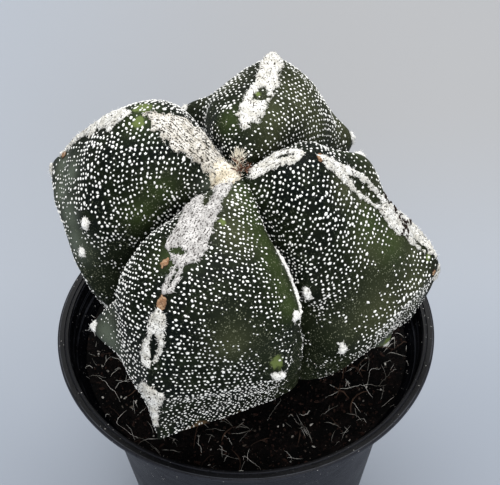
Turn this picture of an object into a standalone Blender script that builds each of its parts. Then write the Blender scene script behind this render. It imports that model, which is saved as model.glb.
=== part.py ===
"""A potted bishop's cap cactus: four broad ribs under wool, in a black nursery pot of peat soil.

Millimetres in the tables below, turned into metres where the meshes are made.
+Z is up, and the origin is the centre of the pot's flat base. The plant's photographed front faces -Y.
"""

import bpy
import bmesh
import math
import random
import numpy as np
from mathutils import Vector, noise
from mathutils.bvhtree import BVHTree

MM = 0.001

# Pot
POT_HEIGHT = 84.0
FLANGE_RADIUS = 52.5
FLANGE_DEPTH = 1.3
LIP_RADIUS = 49.4
COLLAR_RADIUS = 49.9
COLLAR_DEPTH = 6.8
COLLAR_TAPER = 1.4
SHOULDER_RADIUS = 42.8
SHOULDER_DEPTH = 12.3
BASE_RADIUS = 31.4
BASE_EDGE = 1.2
POT_WALL = 0.9
POT_FLOOR = 1.5
POT_SIDES = 72
DRAIN_HOLES = 8
DRAIN_RADIUS = 3.5
DRAIN_CIRCLE = 20.0

# Soil
SOIL_DEPTH = 8.8
SOIL_GAP = 0.3
SOIL_SIDES = 60
SOIL_RINGS = 9
CRUMB_HEIGHT = 0.8
CRUMB_SIZE = 3.2
FOOT_HOLE_RADIUS = 15.4
FOOT_HOLE_FLOOR = 18.4

# Cactus. Heights are above the pot's rim. Each profile runs in 12 steps from the crown, over the rib's
# hump, round its corner and under it to the foot, as (distance from the crown's axis, height).
CROWN = (-0.9, -5.0)
CROWN_HEIGHT = 63.3
STEPS = 12
RIBS = {
    "left": (160, [(0, 63.3), (5, 64.8), (12, 71), (23, 75.5), (36, 70), (46, 58.5), (52, 50),
                   (49.1, 34), (47.4, 17), (43.8, 4), (27, -3), (15, -8), (13, -18)]),
    "front": (242, [(0, 63.3), (5, 63.2), (13, 63.2), (26, 62), (37, 58), (44.5, 48), (48.5, 32),
                    (48, 22), (47, 14), (45, 8), (27, -1), (15, -8), (13, -18)]),
    "right": (2, [(0, 63.3), (5, 64.2), (12, 67.4), (20, 67), (32, 53), (44, 37), (52.2, 28),
                  (51.8, 19), (48.4, 10), (44.5, 3), (27, -3), (15, -8), (13, -18)]),
    "back": (76, [(0, 63.3), (3, 67), (10, 71), (23, 73), (38, 70.5), (49, 58), (53, 45),
                  (51, 32), (49, 17), (45, 4), (27, -3), (15, -8), (13, -18)]),
}
GROOVE_PROFILE = [(0, 63.3), (3.5, 60), (7, 53), (10, 45), (13.5, 36), (17, 27), (20, 19),
                  (21.5, 14), (22.8, 11), (22.5, 7.5), (15, -1), (13, -8), (12.5, -18)]
# Going round from the right rib, each groove with the rib before it and the rib after it
GROOVES = [("right", 38, "back"), ("back", 116, "left"), ("left", 203, "front"), ("front", 305, "right")]
# How a flank leaves the rib's crest: the half angle of the crest, and the reach of the curve's two handles
CREST_ANGLE = [85, 88, 88, 86, 82, 74, 60, 50, 42, 36, 40, 66, 72]
CREST_REACH = [0.40, 0.42, 0.44, 0.46, 0.46, 0.44, 0.42, 0.42, 0.40, 0.36, 0.35, 0.45, 0.45]
FOLD_REACH = [0.50, 0.70, 0.75, 0.72, 0.68, 0.62, 0.54, 0.46, 0.38, 0.28, 0.20, 0.05, 0.0]
# How far the handles follow the slope of the crest and the fold. Round the lower edge they lie level.
HANDLE_SLOPE = [1, 1, 1, 1, 1, 1, 1, 0.7, 0.3, 0, 0, 0, 0]
# What single flanks add to the crest angle, named by the rib and the rib across the groove
FLATTER = {
    ("back", "left"): [0, 0, 0, -12, -30, -18, -6, 0, 0, 0, 0, 0, 0],
    ("back", "right"): [0, 0, 0, -6, -14, -6, -4, 0, 0, 0, 0, 0, 0],
    ("right", "back"): [0, 0, 4, 6, 30, 26, 14, 0, 0, 0, 0, 0, 0],
    ("left", "back"): [0, 0, 0, 0, 0, -6, -16, -18, -10, 0, 0, 0, 0],
    ("front", "left"): [0, 0, 2, 4, 5, 6, 6, 4, 0, 0, 0, 0, 0],
    ("front", "right"): [0, 0, 0, 4, 6, 4, 2, 0, -2, 0, 0, 0, 0],
}
FULLER = {
    ("front", "left"): [0, 0.12, 0.14, 0.10, 0.04, 0, 0, 0, 0, 0, 0, 0, 0],
    ("front", "right"): [0, 0.04, 0.06, 0.08, 0.06, 0.03, -0.02, -0.05, -0.05, -0.03, 0, 0, 0],
}
# Side tubercles: rib, rib across the groove, step, share of the way from crest to fold, height, radius
TUBERCLES = [
    ("left", "front", 4.3, 0.47, 1.6, 3.4),
    ("left", "front", 4.9, 0.53, 1.8, 3.4),
    ("left", "back", 4.6, 0.50, 2.4, 4.0),
    ("left", "back", 6.6, 0.50, 2.4, 4.0),
    ("front", "left", 5.6, 0.52, 6.4, 5.2),
    ("front", "right", 4.3, 0.62, 1.8, 4.6),
    ("front", "right", 5.7, 0.52, 3.2, 3.6),
    ("right", "front", 4.15, 0.74, 3.0, 3.8),
    ("right", "front", 5.75, 0.69, 2.8, 4.2),
    ("right", "front", 8.5, 0.26, 2.2, 3.0),
    ("right", "back", 3.9, 0.36, 5.1, 7.2),
    ("right", "back", 6.0, 0.55, 2.6, 4.0),
    ("back", "right", 5.0, 0.50, 4.2, 4.8),
    ("back", "right", 7.0, 0.50, 2.6, 4.0),
    ("back", "left", 3.8, 0.52, 5.2, 4.4),
    ("back", "left", 6.0, 0.52, 2.6, 4.0),
]
RINGS = 44
FLANK_CELLS = 8

# White flecks, raised larger than life on the skin, each in a cell of its grid
FLECK_SHARE = 0.78
FLECK_RADIUS = 1.25
FLECK_HEIGHT = 0.7
FLECK_RINGS = (4, 34)
FLECK_COLUMNS = (2, 6)
FLECK_CLEARANCE = 4.0
FLECK_SEED = 7

# Wool
WOOL_GAP = 0.35
WOOL_EDGE = 0.65
WOOL_CROWN = 0.7
# Patches along the crests: rib, then (step, width towards the next rib, width towards the rib before)
WOOL_PATCHES = {
    "wool_left_inner": ("left", [(1.15, 1.6, 2.0), (1.6, 2.6, 3.0), (2.1, 3.4, 2.6), (2.6, 3.2, 1.8),
                                 (2.95, 1.6, 0.8)]),
    "wool_left_outer": ("left", [(3.65, 1.0, 1.4), (4.0, 2.4, 1.6), (4.5, 2.0, 1.8), (5.0, 1.4, 1.6),
                                 (5.25, 0.8, 0.8)]),
    "wool_front_upper": ("front", [(1.15, 1.4, 1.6), (1.8, 1.5, 2.4), (2.3, 3.6, 6.0), (2.9, 4.2, 4.4),
                                   (3.4, 3.0, 1.4), (3.9, 1.2, 0.8)]),
    "wool_front_middle": ("front", [(4.55, 0.8, 0.8), (4.9, 2.2, 2.0), (5.3, 3.0, 3.0), (5.62, 2.4, 1.8)]),
    "wool_front_lower": ("front", [(5.85, 1.2, 1.2), (6.1, 3.4, 3.2), (6.4, 3.0, 2.8), (6.8, 2.0, 1.6),
                                   (7.4, 1.0, 0.8)]),
    "wool_right_inner": ("right", [(1.1, 1.8, 1.6), (1.6, 2.2, 2.6), (2.1, 2.0, 2.2), (2.5, 1.0, 1.0)]),
    "wool_right_middle": ("right", [(3.12, 1.0, 1.0), (3.5, 2.2, 2.4), (3.9, 2.8, 1.6), (4.25, 2.0, 0.9)]),
    "wool_right_outer": ("right", [(4.4, 1.0, 1.0), (4.9, 3.0, 1.8), (5.4, 2.8, 2.0), (5.9, 1.2, 1.2)]),
    "wool_back_inner": ("back", [(1.8, 0.8, 0.8), (2.2, 2.4, 2.8), (2.7, 2.4, 2.6), (3.3, 2.4, 2.6),
                                 (3.9, 1.8, 2.0)]),
    "wool_back_outer": ("back", [(4.5, 1.0, 1.0), (5.0, 2.4, 2.2), (5.5, 2.4, 2.4), (6.0, 1.2, 1.2)]),
    "wool_left_corner": ("left", [(5.9, 1.2, 1.2), (6.3, 2.2, 2.2), (6.8, 1.8, 1.8), (7.2, 0.9, 0.9)]),
    "wool_right_corner": ("right", [(6.25, 0.9, 0.9), (6.6, 1.8, 1.8), (7.0, 0.9, 0.9)]),
}
PATCH_LENGTHS = 8
PATCH_WIDTHS = 4
TUFT_SIDES = 8
TUFT_RADIUS = 1.5
TUFT_HEIGHT = 0.9
CROWN_WOOL_PLACE = (-1.2, -1.2)
CROWN_WOOL_RADIUS = 3.6
CROWN_WOOL_SIDES = 16
CROWN_WOOL_CLEAR = 0.45
CROWN_WOOL_HEIGHT = 1.3
SPINE_TUFT_PLACE = (2.0, -0.4, 2.9)
SPINE_TUFT_CORE = 1.1
SPINE_TUFT_REACH = 3.6
SPINE_TUFT_SEED = 11

# Colours, roughness
POT_FINISH = ((0.018, 0.019, 0.021), 0.55)
SOIL_FINISH = ((0.022, 0.014, 0.010), 0.95)
SKIN_FINISH = ((0.035, 0.075, 0.030), 0.55)
WOOL_FINISH = ((0.78, 0.75, 0.68), 0.95)
CROWN_WOOL_FINISH = ((0.80, 0.72, 0.52), 0.95)
SPINE_FINISH = ((0.33, 0.22, 0.12), 0.85)


def clear_scene():
    for old in list(bpy.data.objects):
        bpy.data.objects.remove(old, do_unlink=True)


def make_material(name, finish):
    colour, roughness = finish
    material = bpy.data.materials.new(name)
    material.use_nodes = True
    shader = material.node_tree.nodes["Principled BSDF"]
    shader.inputs["Base Color"].default_value = (*colour, 1.0)
    shader.inputs["Roughness"].default_value = roughness
    shader.inputs["Metallic"].default_value = 0.0
    return material


def make_object(name, points, faces, material, smooth=True):
    """A mesh object from points in millimetres above the rim's plane."""
    mesh = bpy.data.meshes.new(name)
    metres = (np.asarray(points, float) + (0.0, 0.0, POT_HEIGHT)) * MM
    mesh.from_pydata([tuple(point) for point in metres], [], faces)
    mesh.materials.append(material)
    if smooth:
        mesh.shade_smooth()
    mesh.update()
    thing = bpy.data.objects.new(name, mesh)
    bpy.context.scene.collection.objects.link(thing)
    return thing


def ring_faces(first, second, count):
    """Quads between two rings of points, the first ring above or inside the second."""
    faces = []
    for i in range(count):
        j = (i + 1) % count
        faces.append((first + i, second + i, second + j, first + j))
    return faces


def closed_rings(rings, top, bottom):
    """Points and faces of a closed skin: a top pole, rings going down or out, and a bottom pole."""
    count = len(rings[0])
    points = [top]
    for ring in rings:
        points.extend(ring)
    points.append(bottom)
    last = len(points) - 1
    faces = [(0, 1 + i, 1 + (i + 1) % count) for i in range(count)]
    for k in range(len(rings) - 1):
        faces += ring_faces(1 + k * count, 1 + (k + 1) * count, count)
    start = 1 + (len(rings) - 1) * count
    faces += [(last, start + (i + 1) % count, start + i) for i in range(count)]
    return points, faces


def circle(radius, height, count, centre=(0.0, 0.0)):
    ring = []
    for i in range(count):
        turn = math.tau * i / count
        ring.append((centre[0] + radius * math.cos(turn), centre[1] + radius * math.sin(turn), height))
    return ring


def pot_inside(depth):
    """Inner radius of the pot at a depth below the rim."""
    stops = [0.0, FLANGE_DEPTH, COLLAR_DEPTH, SHOULDER_DEPTH, POT_HEIGHT - POT_FLOOR]
    radii = [LIP_RADIUS, COLLAR_RADIUS - POT_WALL, COLLAR_RADIUS - COLLAR_TAPER - POT_WALL,
             SHOULDER_RADIUS - POT_WALL, BASE_RADIUS - POT_WALL]
    return float(np.interp(depth, stops, radii))


def build_pot(material):
    floor = POT_HEIGHT - POT_FLOOR
    profile = [
        (pot_inside(floor) - BASE_EDGE, -floor),
        (pot_inside(floor), -floor + BASE_EDGE),
        (pot_inside(SHOULDER_DEPTH), -SHOULDER_DEPTH),
        (pot_inside(COLLAR_DEPTH), -COLLAR_DEPTH),
        (pot_inside(FLANGE_DEPTH), -FLANGE_DEPTH),
        (LIP_RADIUS, -0.2),
        (LIP_RADIUS + 0.3, 0.0),
        (FLANGE_RADIUS - 0.4, 0.0),
        (FLANGE_RADIUS, -0.4),
        (FLANGE_RADIUS, -FLANGE_DEPTH + 0.2),
        (FLANGE_RADIUS - 0.3, -FLANGE_DEPTH),
        (COLLAR_RADIUS, -FLANGE_DEPTH),
        (COLLAR_RADIUS - COLLAR_TAPER, -COLLAR_DEPTH),
        (SHOULDER_RADIUS, -SHOULDER_DEPTH),
        (BASE_RADIUS, -POT_HEIGHT + BASE_EDGE),
        (BASE_RADIUS - BASE_EDGE, -POT_HEIGHT),
    ]
    rings = [circle(radius, height, POT_SIDES) for radius, height in profile]
    points, faces = closed_rings(rings, (0, 0, -floor), (0, 0, -POT_HEIGHT))
    pot = make_object("pot", points, faces, material)
    cutter_points = []
    cutter_faces = []
    for k in range(DRAIN_HOLES):
        turn = math.tau * (k + 0.5) / DRAIN_HOLES
        centre = (DRAIN_CIRCLE * math.cos(turn), DRAIN_CIRCLE * math.sin(turn))
        rings = [circle(DRAIN_RADIUS, height, 12, centre) for height in (-floor + 1.0, -POT_HEIGHT - 1.0)]
        part, part_faces = closed_rings(rings, (*centre, -floor + 1.0), (*centre, -POT_HEIGHT - 1.0))
        offset = len(cutter_points)
        cutter_points += part
        cutter_faces += [tuple(offset + i for i in face) for face in part_faces]
    cutter = make_object("drain_hole_cutter", cutter_points, cutter_faces, material, smooth=False)
    cutter.hide_render = True
    cutter.display_type = "WIRE"
    holes = pot.modifiers.new("drain_holes", "BOOLEAN")
    holes.operation = "DIFFERENCE"
    holes.object = cutter
    return pot


def crumbs(x, y):
    """Height of the peat's crumbs at a place on the soil."""
    coarse = noise.noise(Vector((x / CRUMB_SIZE / 2, y / CRUMB_SIZE / 2, 1.7)))
    fine = noise.noise(Vector((x / CRUMB_SIZE, y / CRUMB_SIZE, 5.2)))
    return CRUMB_HEIGHT * (1.2 * coarse + 0.9 * fine)


def soil_surface(x, y):
    """The soil dips a little under the plant, where it is also smoother."""
    away = math.hypot(x - CROWN[0], y - CROWN[1])
    open_soil = min(1.0, max(0.0, (away - 17.0) / 10.0))
    return -SOIL_DEPTH - 1.1 * (1.0 - open_soil) + crumbs(x, y) * open_soil


def build_soil(material):
    hole = circle(FOOT_HOLE_RADIUS, 0.0, SOIL_SIDES, CROWN)
    rings = [[(x, y, -FOOT_HOLE_FLOOR) for x, y, _ in hole]]
    edge_radius = pot_inside(SOIL_DEPTH) - SOIL_GAP - 0.5
    edge = circle(edge_radius, 0.0, SOIL_SIDES)
    for k in range(SOIL_RINGS):
        share = k / (SOIL_RINGS - 1)
        ring = []
        for inner, outer in zip(hole, edge):
            x = inner[0] + (outer[0] - inner[0]) * share
            y = inner[1] + (outer[1] - inner[1]) * share
            height = soil_surface(x, y)
            if k == SOIL_RINGS - 1:
                height = -SOIL_DEPTH
            ring.append((x, y, height))
        rings.append(ring)
    floor = POT_HEIGHT - POT_FLOOR - SOIL_GAP
    for depth in (SHOULDER_DEPTH + SOIL_GAP, floor - BASE_EDGE - SOIL_GAP):
        rings.append(circle(pot_inside(depth) - 1.2 * SOIL_GAP, -depth, SOIL_SIDES))
    rings.append(circle(pot_inside(floor) - BASE_EDGE - SOIL_GAP, -floor, SOIL_SIDES))
    points, faces = closed_rings(rings, (*CROWN, -FOOT_HOLE_FLOOR), (0, 0, -floor))
    return make_object("soil", points, faces, material)


def along(profile, step):
    """A smooth curve through a profile's points, and its direction, at steps counted from the crown."""
    knots = np.asarray(profile, float)
    last = len(knots) - 1
    step = np.clip(np.asarray(step, float), 0, last)
    index = np.minimum(step.astype(int), last - 1)
    part = (step - index)[..., None]
    padded = np.vstack([2 * knots[0] - knots[1], knots, 2 * knots[-1] - knots[-2]])
    before, here, there, after = (padded[index + k] for k in range(4))
    bend = 2 * before - 5 * here + 4 * there - after
    twist = -before + 3 * here - 3 * there + after
    place = here + 0.5 * ((there - before) * part + bend * part ** 2 + twist * part ** 3)
    heading = 0.5 * ((there - before) + 2 * bend * part + 3 * twist * part ** 2)
    return place, heading


def table_at(table, step):
    """A number for each step, read smoothly between the steps."""
    return along(np.array(table)[:, None], step)[0]


def meridian(azimuth, profile, step):
    """Points down one crest or fold, and the direction that its flanks' handles follow there."""
    place, heading = along(profile, step)
    turn = math.radians(azimuth)
    outward = np.array([math.cos(turn), math.sin(turn), 0.0])
    up = np.array([0.0, 0.0, 1.0])
    points = np.array([*CROWN, 0.0]) + place[..., :1] * outward + place[..., 1:] * up
    normal = -heading[..., 1:] * outward + heading[..., :1] * up
    normal /= np.linalg.norm(normal, axis=-1, keepdims=True) + 1e-9
    normal = normal * (1, 1, 0) + normal * (0, 0, 1) * table_at(HANDLE_SLOPE, step)
    normal /= np.linalg.norm(normal, axis=-1, keepdims=True) + 1e-9
    return points, normal, outward


def groove_azimuth(rib, other):
    for before, azimuth, after in GROOVES:
        if {before, after} == {rib, other}:
            return azimuth, before == rib
    raise ValueError("no groove between these ribs")


def flank(rib, other, steps, shares):
    """The smooth flank from a rib's crest (share 0) to the fold (share 1) towards another rib."""
    azimuth, profile = RIBS[rib]
    fold_azimuth, onward = groove_azimuth(rib, other)
    crest, crest_out, outward = meridian(azimuth, profile, steps)
    fold, fold_out, _ = meridian(fold_azimuth, GROOVE_PROFILE, steps)
    sideways = np.array([-outward[1], outward[0], 0.0]) * (1 if onward else -1)
    span = np.linalg.norm(crest - fold, axis=-1, keepdims=True)
    none = [0] * (STEPS + 1)
    angle = np.radians(table_at(np.add(CREST_ANGLE, FLATTER.get((rib, other), none)), steps))
    crest_reach = table_at(CREST_REACH, steps)
    fold_reach = table_at(np.add(FOLD_REACH, FULLER.get((rib, other), none)), steps)
    crest_handle = crest + span * crest_reach * (sideways * np.sin(angle) - crest_out * np.cos(angle))
    fold_handle = fold + span * fold_reach * fold_out
    s = shares[..., None]
    return ((1 - s) ** 3 * crest + 3 * (1 - s) ** 2 * s * crest_handle
            + 3 * (1 - s) * s ** 2 * fold_handle + s ** 3 * fold)


def flank_normals(rib, other, steps, shares):
    """Outward directions on a flank, from its slopes both ways."""
    little = 0.01
    down = flank(rib, other, np.minimum(steps + little, STEPS), shares)
    down = down - flank(rib, other, np.maximum(steps - little, 0), shares)
    across = flank(rib, other, steps, np.minimum(shares + little, 1))
    across = across - flank(rib, other, steps, np.maximum(shares - little, 0))
    normal = np.cross(down, across)
    if not groove_azimuth(rib, other)[1]:
        normal = -normal
    return normal / (np.linalg.norm(normal, axis=-1, keepdims=True) + 1e-9)


def skin(rib, other, steps, shares):
    """The flank with its side tubercles raised on it, and its outward directions."""
    steps, shares = np.broadcast_arrays(np.asarray(steps, float), np.asarray(shares, float))
    points = flank(rib, other, steps, shares)
    normals = flank_normals(rib, other, steps, shares)
    rise = np.zeros(points.shape[:-1])
    for name, across, step, share, height, radius in TUBERCLES:
        if (name, across) == (rib, other):
            centre = flank(rib, other, np.array(step), np.array(share))
            distance = np.linalg.norm(points - centre, axis=-1)
            rise += height * np.exp(-(distance / radius) ** 2)
    rise *= np.clip((1 - shares) / 0.15, 0, 1) * np.clip(shares / 0.08, 0, 1)
    return points + normals * rise[..., None], normals


def flank_grid(rib, other, steps, shares):
    """Points of one flank's grid, where the nearest point to each tubercle moves onto its tip."""
    steps, shares = np.meshgrid(steps, shares, indexing="ij")
    points = flank(rib, other, steps, shares)
    for name, across, step, share, _, _ in TUBERCLES:
        if (name, across) == (rib, other):
            centre = flank(rib, other, np.array(step), np.array(share))
            distance = np.linalg.norm(points - centre, axis=-1)
            nearest = np.unravel_index(np.argmin(distance), distance.shape)
            steps[nearest] = step
            shares[nearest] = share
    return skin(rib, other, steps, shares)[0]


def sweep_round(steps, cells):
    """Rings of the whole skin, counted from the right rib's crest, a column list for each step."""
    columns = []
    for before, _, after in GROOVES:
        shares = np.linspace(0, 1, cells + 1)
        columns.append(flank_grid(before, after, steps, shares[:-1]))
        columns.append(flank_grid(after, before, steps, shares[:0:-1]))
    return np.concatenate(columns, axis=1)


def raise_flecks(points, faces):
    """Puts a small four-sided point on some faces of the flanks, clear of crests, folds and wool."""
    rng = random.Random(FLECK_SEED)
    columns = 8 * FLANK_CELLS
    tufts = [flank(rib, other, np.array(step), np.array(share)) for rib, other, step, share, _, _ in TUBERCLES]
    kept = []
    for number, face in enumerate(faces):
        ring, column = divmod(number - columns, columns)
        place = column % (2 * FLANK_CELLS)
        from_crest = min(place, 2 * FLANK_CELLS - 1 - place)
        on_flank = FLECK_COLUMNS[0] <= from_crest <= FLECK_COLUMNS[1]
        corners = np.array([points[i] for i in face])
        middle = corners.mean(axis=0)
        wanted = rng.random() < FLECK_SHARE and (ring + column) % 2 == 0
        clear = min(np.linalg.norm(middle - tuft) for tuft in tufts) > FLECK_CLEARANCE
        roomy = np.linalg.norm(corners - middle, axis=1).min() > 1.3 * FLECK_RADIUS
        if not (wanted and clear and roomy and on_flank and FLECK_RINGS[0] <= ring <= FLECK_RINGS[1]):
            kept.append(face)
            continue
        normal = np.cross(corners[2] - corners[0], corners[3] - corners[1])
        normal /= np.linalg.norm(normal)
        first = len(points)
        for corner in corners:
            way = corner - middle
            points.append(tuple(middle + way / np.linalg.norm(way) * FLECK_RADIUS))
        points.append(tuple(middle + normal * FLECK_HEIGHT))
        for i in range(4):
            j = (i + 1) % 4
            kept.append((face[i], face[j], first + j, first + i))
            kept.append((first + i, first + j, first + 4))
    return points, kept


def build_cactus(material):
    steps = np.linspace(0, STEPS, RINGS + 1)[1:]
    rings = sweep_round(steps, FLANK_CELLS)
    foot = (*CROWN, RIBS["left"][1][-1][1])
    points, faces = closed_rings([list(map(tuple, ring)) for ring in rings], (*CROWN, CROWN_HEIGHT), foot)
    points, faces = raise_flecks(points, faces)
    return make_object("cactus_body", points, faces, material)


def signed_skin(rib, steps, widths):
    """Points across a rib's crest: widths in millimetres, positive towards the next rib round."""
    order = [before for before, _, _ in GROOVES]
    here = order.index(rib)
    neighbours = (order[(here + 1) % 4], order[here - 1])
    points = np.zeros((*steps.shape, 3))
    table = np.linspace(0, 0.6, 40)
    for i, step in np.ndenumerate(steps):
        other = neighbours[0] if widths[i] >= 0 else neighbours[1]
        line, _ = skin(rib, other, np.full(table.shape, step), table)
        length = np.concatenate([[0], np.cumsum(np.linalg.norm(np.diff(line, axis=0), axis=1))])
        share = np.interp(abs(widths[i]), length, table)
        points[i] = skin(rib, other, np.array(step), np.array(share))[0]
    return points


def grid_normals(grid):
    """Outward directions of a grid of points, rows down the crest and columns across it."""
    down = np.gradient(grid, axis=0)
    across = np.gradient(grid, axis=1)
    normal = np.cross(down, across)
    return normal / np.linalg.norm(normal, axis=-1, keepdims=True)


def pad_from_grid(under, over):
    """Points and faces of a closed pad between an under and an over grid of the same shape."""
    rows, columns = under.shape[:2]
    points = [tuple(p) for p in over.reshape(-1, 3)] + [tuple(p) for p in under.reshape(-1, 3)]
    lower = rows * columns
    faces = []
    for i in range(rows - 1):
        for j in range(columns - 1):
            a = i * columns + j
            b = a + columns
            faces.append((a, b, b + 1, a + 1))
            faces.append((lower + a, lower + a + 1, lower + b + 1, lower + b))
    border = [j for j in range(columns)]
    border += [i * columns + columns - 1 for i in range(1, rows)]
    border += [(rows - 1) * columns + j for j in range(columns - 2, -1, -1)]
    border += [i * columns for i in range(rows - 2, 0, -1)]
    for k, a in enumerate(border):
        b = border[(k + 1) % len(border)]
        faces.append((a, b, lower + b, lower + a))
    return points, faces


def build_wool_patch(name, rib, outline, material):
    """A felt pad along a crest, of the widths given at some steps, thickest in its middle."""
    stations = [row[0] for row in outline]
    rows = np.linspace(stations[0], stations[-1], PATCH_LENGTHS + 1)
    onward = np.interp(rows, stations, [row[1] for row in outline])
    backward = np.interp(rows, stations, [row[2] for row in outline])
    across = np.linspace(-1, 1, PATCH_WIDTHS + 1)
    widths = np.where(across[None, :] >= 0, onward[:, None], backward[:, None]) * across[None, :]
    steps = np.repeat(rows[:, None], PATCH_WIDTHS + 1, axis=1)
    surface = signed_skin(rib, steps, widths)
    normals = grid_normals(surface)
    middle = (1 - across[None, :] ** 2) * np.sin(np.linspace(0, math.pi, len(rows)))[:, None] ** 0.5
    thickness = WOOL_EDGE + WOOL_CROWN * middle
    under = surface + normals * WOOL_GAP
    over = surface + normals * (WOOL_GAP + thickness)[..., None]
    points, faces = pad_from_grid(under, over)
    return make_object(name, points, faces, material)


def build_tuft(name, tubercle, material):
    """A small wool button on the tip of a side tubercle."""
    rib, other, step, share, _, _ = tubercle
    little = 0.02
    here = flank(rib, other, np.array(step), np.array(share))
    per_step = np.linalg.norm(flank(rib, other, np.array(step + little), np.array(share)) - here) / little
    per_share = np.linalg.norm(flank(rib, other, np.array(step), np.array(share + little)) - here) / little
    rings = []
    for radius, lift in ((0.55, 1.0), (1.0, 0.62), (1.0, 0.0), (0.5, 0.0)):
        turns = np.arange(TUFT_SIDES) * math.tau / TUFT_SIDES
        if not groove_azimuth(rib, other)[1]:
            turns = -turns
        steps = step - radius * TUFT_RADIUS * np.cos(turns) / per_step
        shares = share - radius * TUFT_RADIUS * np.sin(turns) / per_share
        points, normals = skin(rib, other, steps, shares)
        rings.append([tuple(p) for p in points + normals * (WOOL_GAP + lift * TUFT_HEIGHT)])
    tip, up = skin(rib, other, np.array(step), np.array(share))
    top = tuple(tip + up * (WOOL_GAP + TUFT_HEIGHT * 1.15))
    points, faces = closed_rings(rings, top, tuple(tip + up * WOOL_GAP))
    return make_object(name, points, faces, material)


def build_crown_wool(cactus, material):
    """A cushion laid over the crown's pit: it keeps its gap to the highest skin near each of its points."""
    tree = BVHTree.FromPolygons([v.co for v in cactus.data.vertices],
                                [tuple(face.vertices) for face in cactus.data.polygons])

    def bed(x, y):
        heights = []
        for dx in (-CROWN_WOOL_CLEAR, 0.0, CROWN_WOOL_CLEAR):
            for dy in (-CROWN_WOOL_CLEAR, 0.0, CROWN_WOOL_CLEAR):
                start = Vector(((x + dx) * MM, (y + dy) * MM, 1.0))
                hit = tree.ray_cast(start, Vector((0, 0, -1)))[0]
                heights.append(hit.z / MM - POT_HEIGHT)
        return max(heights) + WOOL_GAP

    middle = (CROWN[0] + CROWN_WOOL_PLACE[0], CROWN[1] + CROWN_WOOL_PLACE[1])
    over = []
    under = []
    for share, lift in ((0.35, 1.0), (0.7, 0.9), (1.0, 0.5)):
        ring = circle(CROWN_WOOL_RADIUS * share, 0.0, CROWN_WOOL_SIDES, middle)
        beds = [bed(x, y) for x, y, _ in ring]
        under.insert(0, [(x, y, z) for (x, y, _), z in zip(ring, beds)])
        over.append([(x, y, z + lift * CROWN_WOOL_HEIGHT) for (x, y, _), z in zip(ring, beds)])
    low = bed(*middle)
    points, faces = closed_rings(over + under, (*middle, low + CROWN_WOOL_HEIGHT), (*middle, low))
    return make_object("wool_crown", points, faces, material)


def build_crown_spines(material):
    """Dried spines in a tight tuft: spikes drawn out of a small round core."""
    rng = random.Random(SPINE_TUFT_SEED)
    work = bmesh.new()
    bmesh.ops.create_icosphere(work, subdivisions=2, radius=SPINE_TUFT_CORE)
    spikes = [v for v in work.verts if v.co.z > 0.1 and len(v.link_edges) == 5]
    spikes += [v for v in work.verts if v.co.z > 0.4 and len(v.link_edges) == 6 and rng.random() < 0.35]
    for vertex in spikes:
        reach = SPINE_TUFT_REACH * rng.uniform(0.7, 1.0)
        lean = Vector((rng.uniform(-0.3, 0.3), rng.uniform(-0.3, 0.3), 0.6))
        vertex.co = (vertex.co.normalized() + lean).normalized() * reach
    for vertex in work.verts:
        vertex.co.z = max(vertex.co.z, -0.35 * SPINE_TUFT_CORE)
    centre = Vector((*CROWN, CROWN_HEIGHT)) + Vector(SPINE_TUFT_PLACE)
    bmesh.ops.translate(work, verts=work.verts, vec=centre)
    work.verts.ensure_lookup_table()
    points = [tuple(v.co) for v in work.verts]
    faces = [tuple(v.index for v in face.verts) for face in work.faces]
    work.free()
    return make_object("crown_spines", points, faces, material, smooth=False)


def main():
    clear_scene()
    plastic = make_material("black_plastic", POT_FINISH)
    peat = make_material("peat_soil", SOIL_FINISH)
    green = make_material("cactus_skin", SKIN_FINISH)
    felt = make_material("white_wool", WOOL_FINISH)
    cream = make_material("cream_wool", CROWN_WOOL_FINISH)
    dried = make_material("dried_spine", SPINE_FINISH)
    build_pot(plastic)
    build_soil(peat)
    cactus = build_cactus(green)
    for name, (rib, outline) in WOOL_PATCHES.items():
        build_wool_patch(name, rib, outline, felt)
    for number, tubercle in enumerate(TUBERCLES, 1):
        build_tuft(f"wool_tuft_{number:02d}", tubercle, felt)
    build_crown_wool(cactus, cream)
    build_crown_spines(dried)


main()
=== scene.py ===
# %% [markdown]
# # A bishop's cap cactus in a black nursery pot
#
# The plant is one swollen stem with four broad ribs. Each rib carries patches of felt-like wool where its
# areoles are, and the green skin between them is dotted with small white flecks of wool. It sits in dark
# peat, in a thin plastic pot with a stepped collar.
#
# A fixed model of the pot, the soil, the stem and the wool is loaded first. It sets every size and place.
# The cells below put a finer surface over it: the stem again from the same curves but with many more faces,
# thousands of flecks, frayed wool, crumbs and roots in the soil, and a material for each.

import bpy
import math
import random
import numpy as np
from mathutils import Matrix, Vector, noise
from mathutils.bvhtree import BVHTree
from mathutils.kdtree import KDTree


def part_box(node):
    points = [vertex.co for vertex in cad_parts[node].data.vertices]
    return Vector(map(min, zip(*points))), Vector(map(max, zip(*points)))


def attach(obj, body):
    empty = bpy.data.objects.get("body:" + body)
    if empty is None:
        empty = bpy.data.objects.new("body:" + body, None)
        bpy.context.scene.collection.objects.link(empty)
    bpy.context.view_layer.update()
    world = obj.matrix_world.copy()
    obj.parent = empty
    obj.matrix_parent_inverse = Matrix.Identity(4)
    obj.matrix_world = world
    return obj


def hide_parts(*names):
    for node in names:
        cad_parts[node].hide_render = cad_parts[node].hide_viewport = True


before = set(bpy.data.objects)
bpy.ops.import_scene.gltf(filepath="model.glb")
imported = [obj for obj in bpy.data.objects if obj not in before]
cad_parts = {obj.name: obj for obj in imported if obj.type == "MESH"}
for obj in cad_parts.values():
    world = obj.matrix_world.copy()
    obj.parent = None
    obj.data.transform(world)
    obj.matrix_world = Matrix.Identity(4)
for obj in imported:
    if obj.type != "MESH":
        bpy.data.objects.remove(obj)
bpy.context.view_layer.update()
MM = 0.001
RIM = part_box("pot")[1].z / MM
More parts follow.
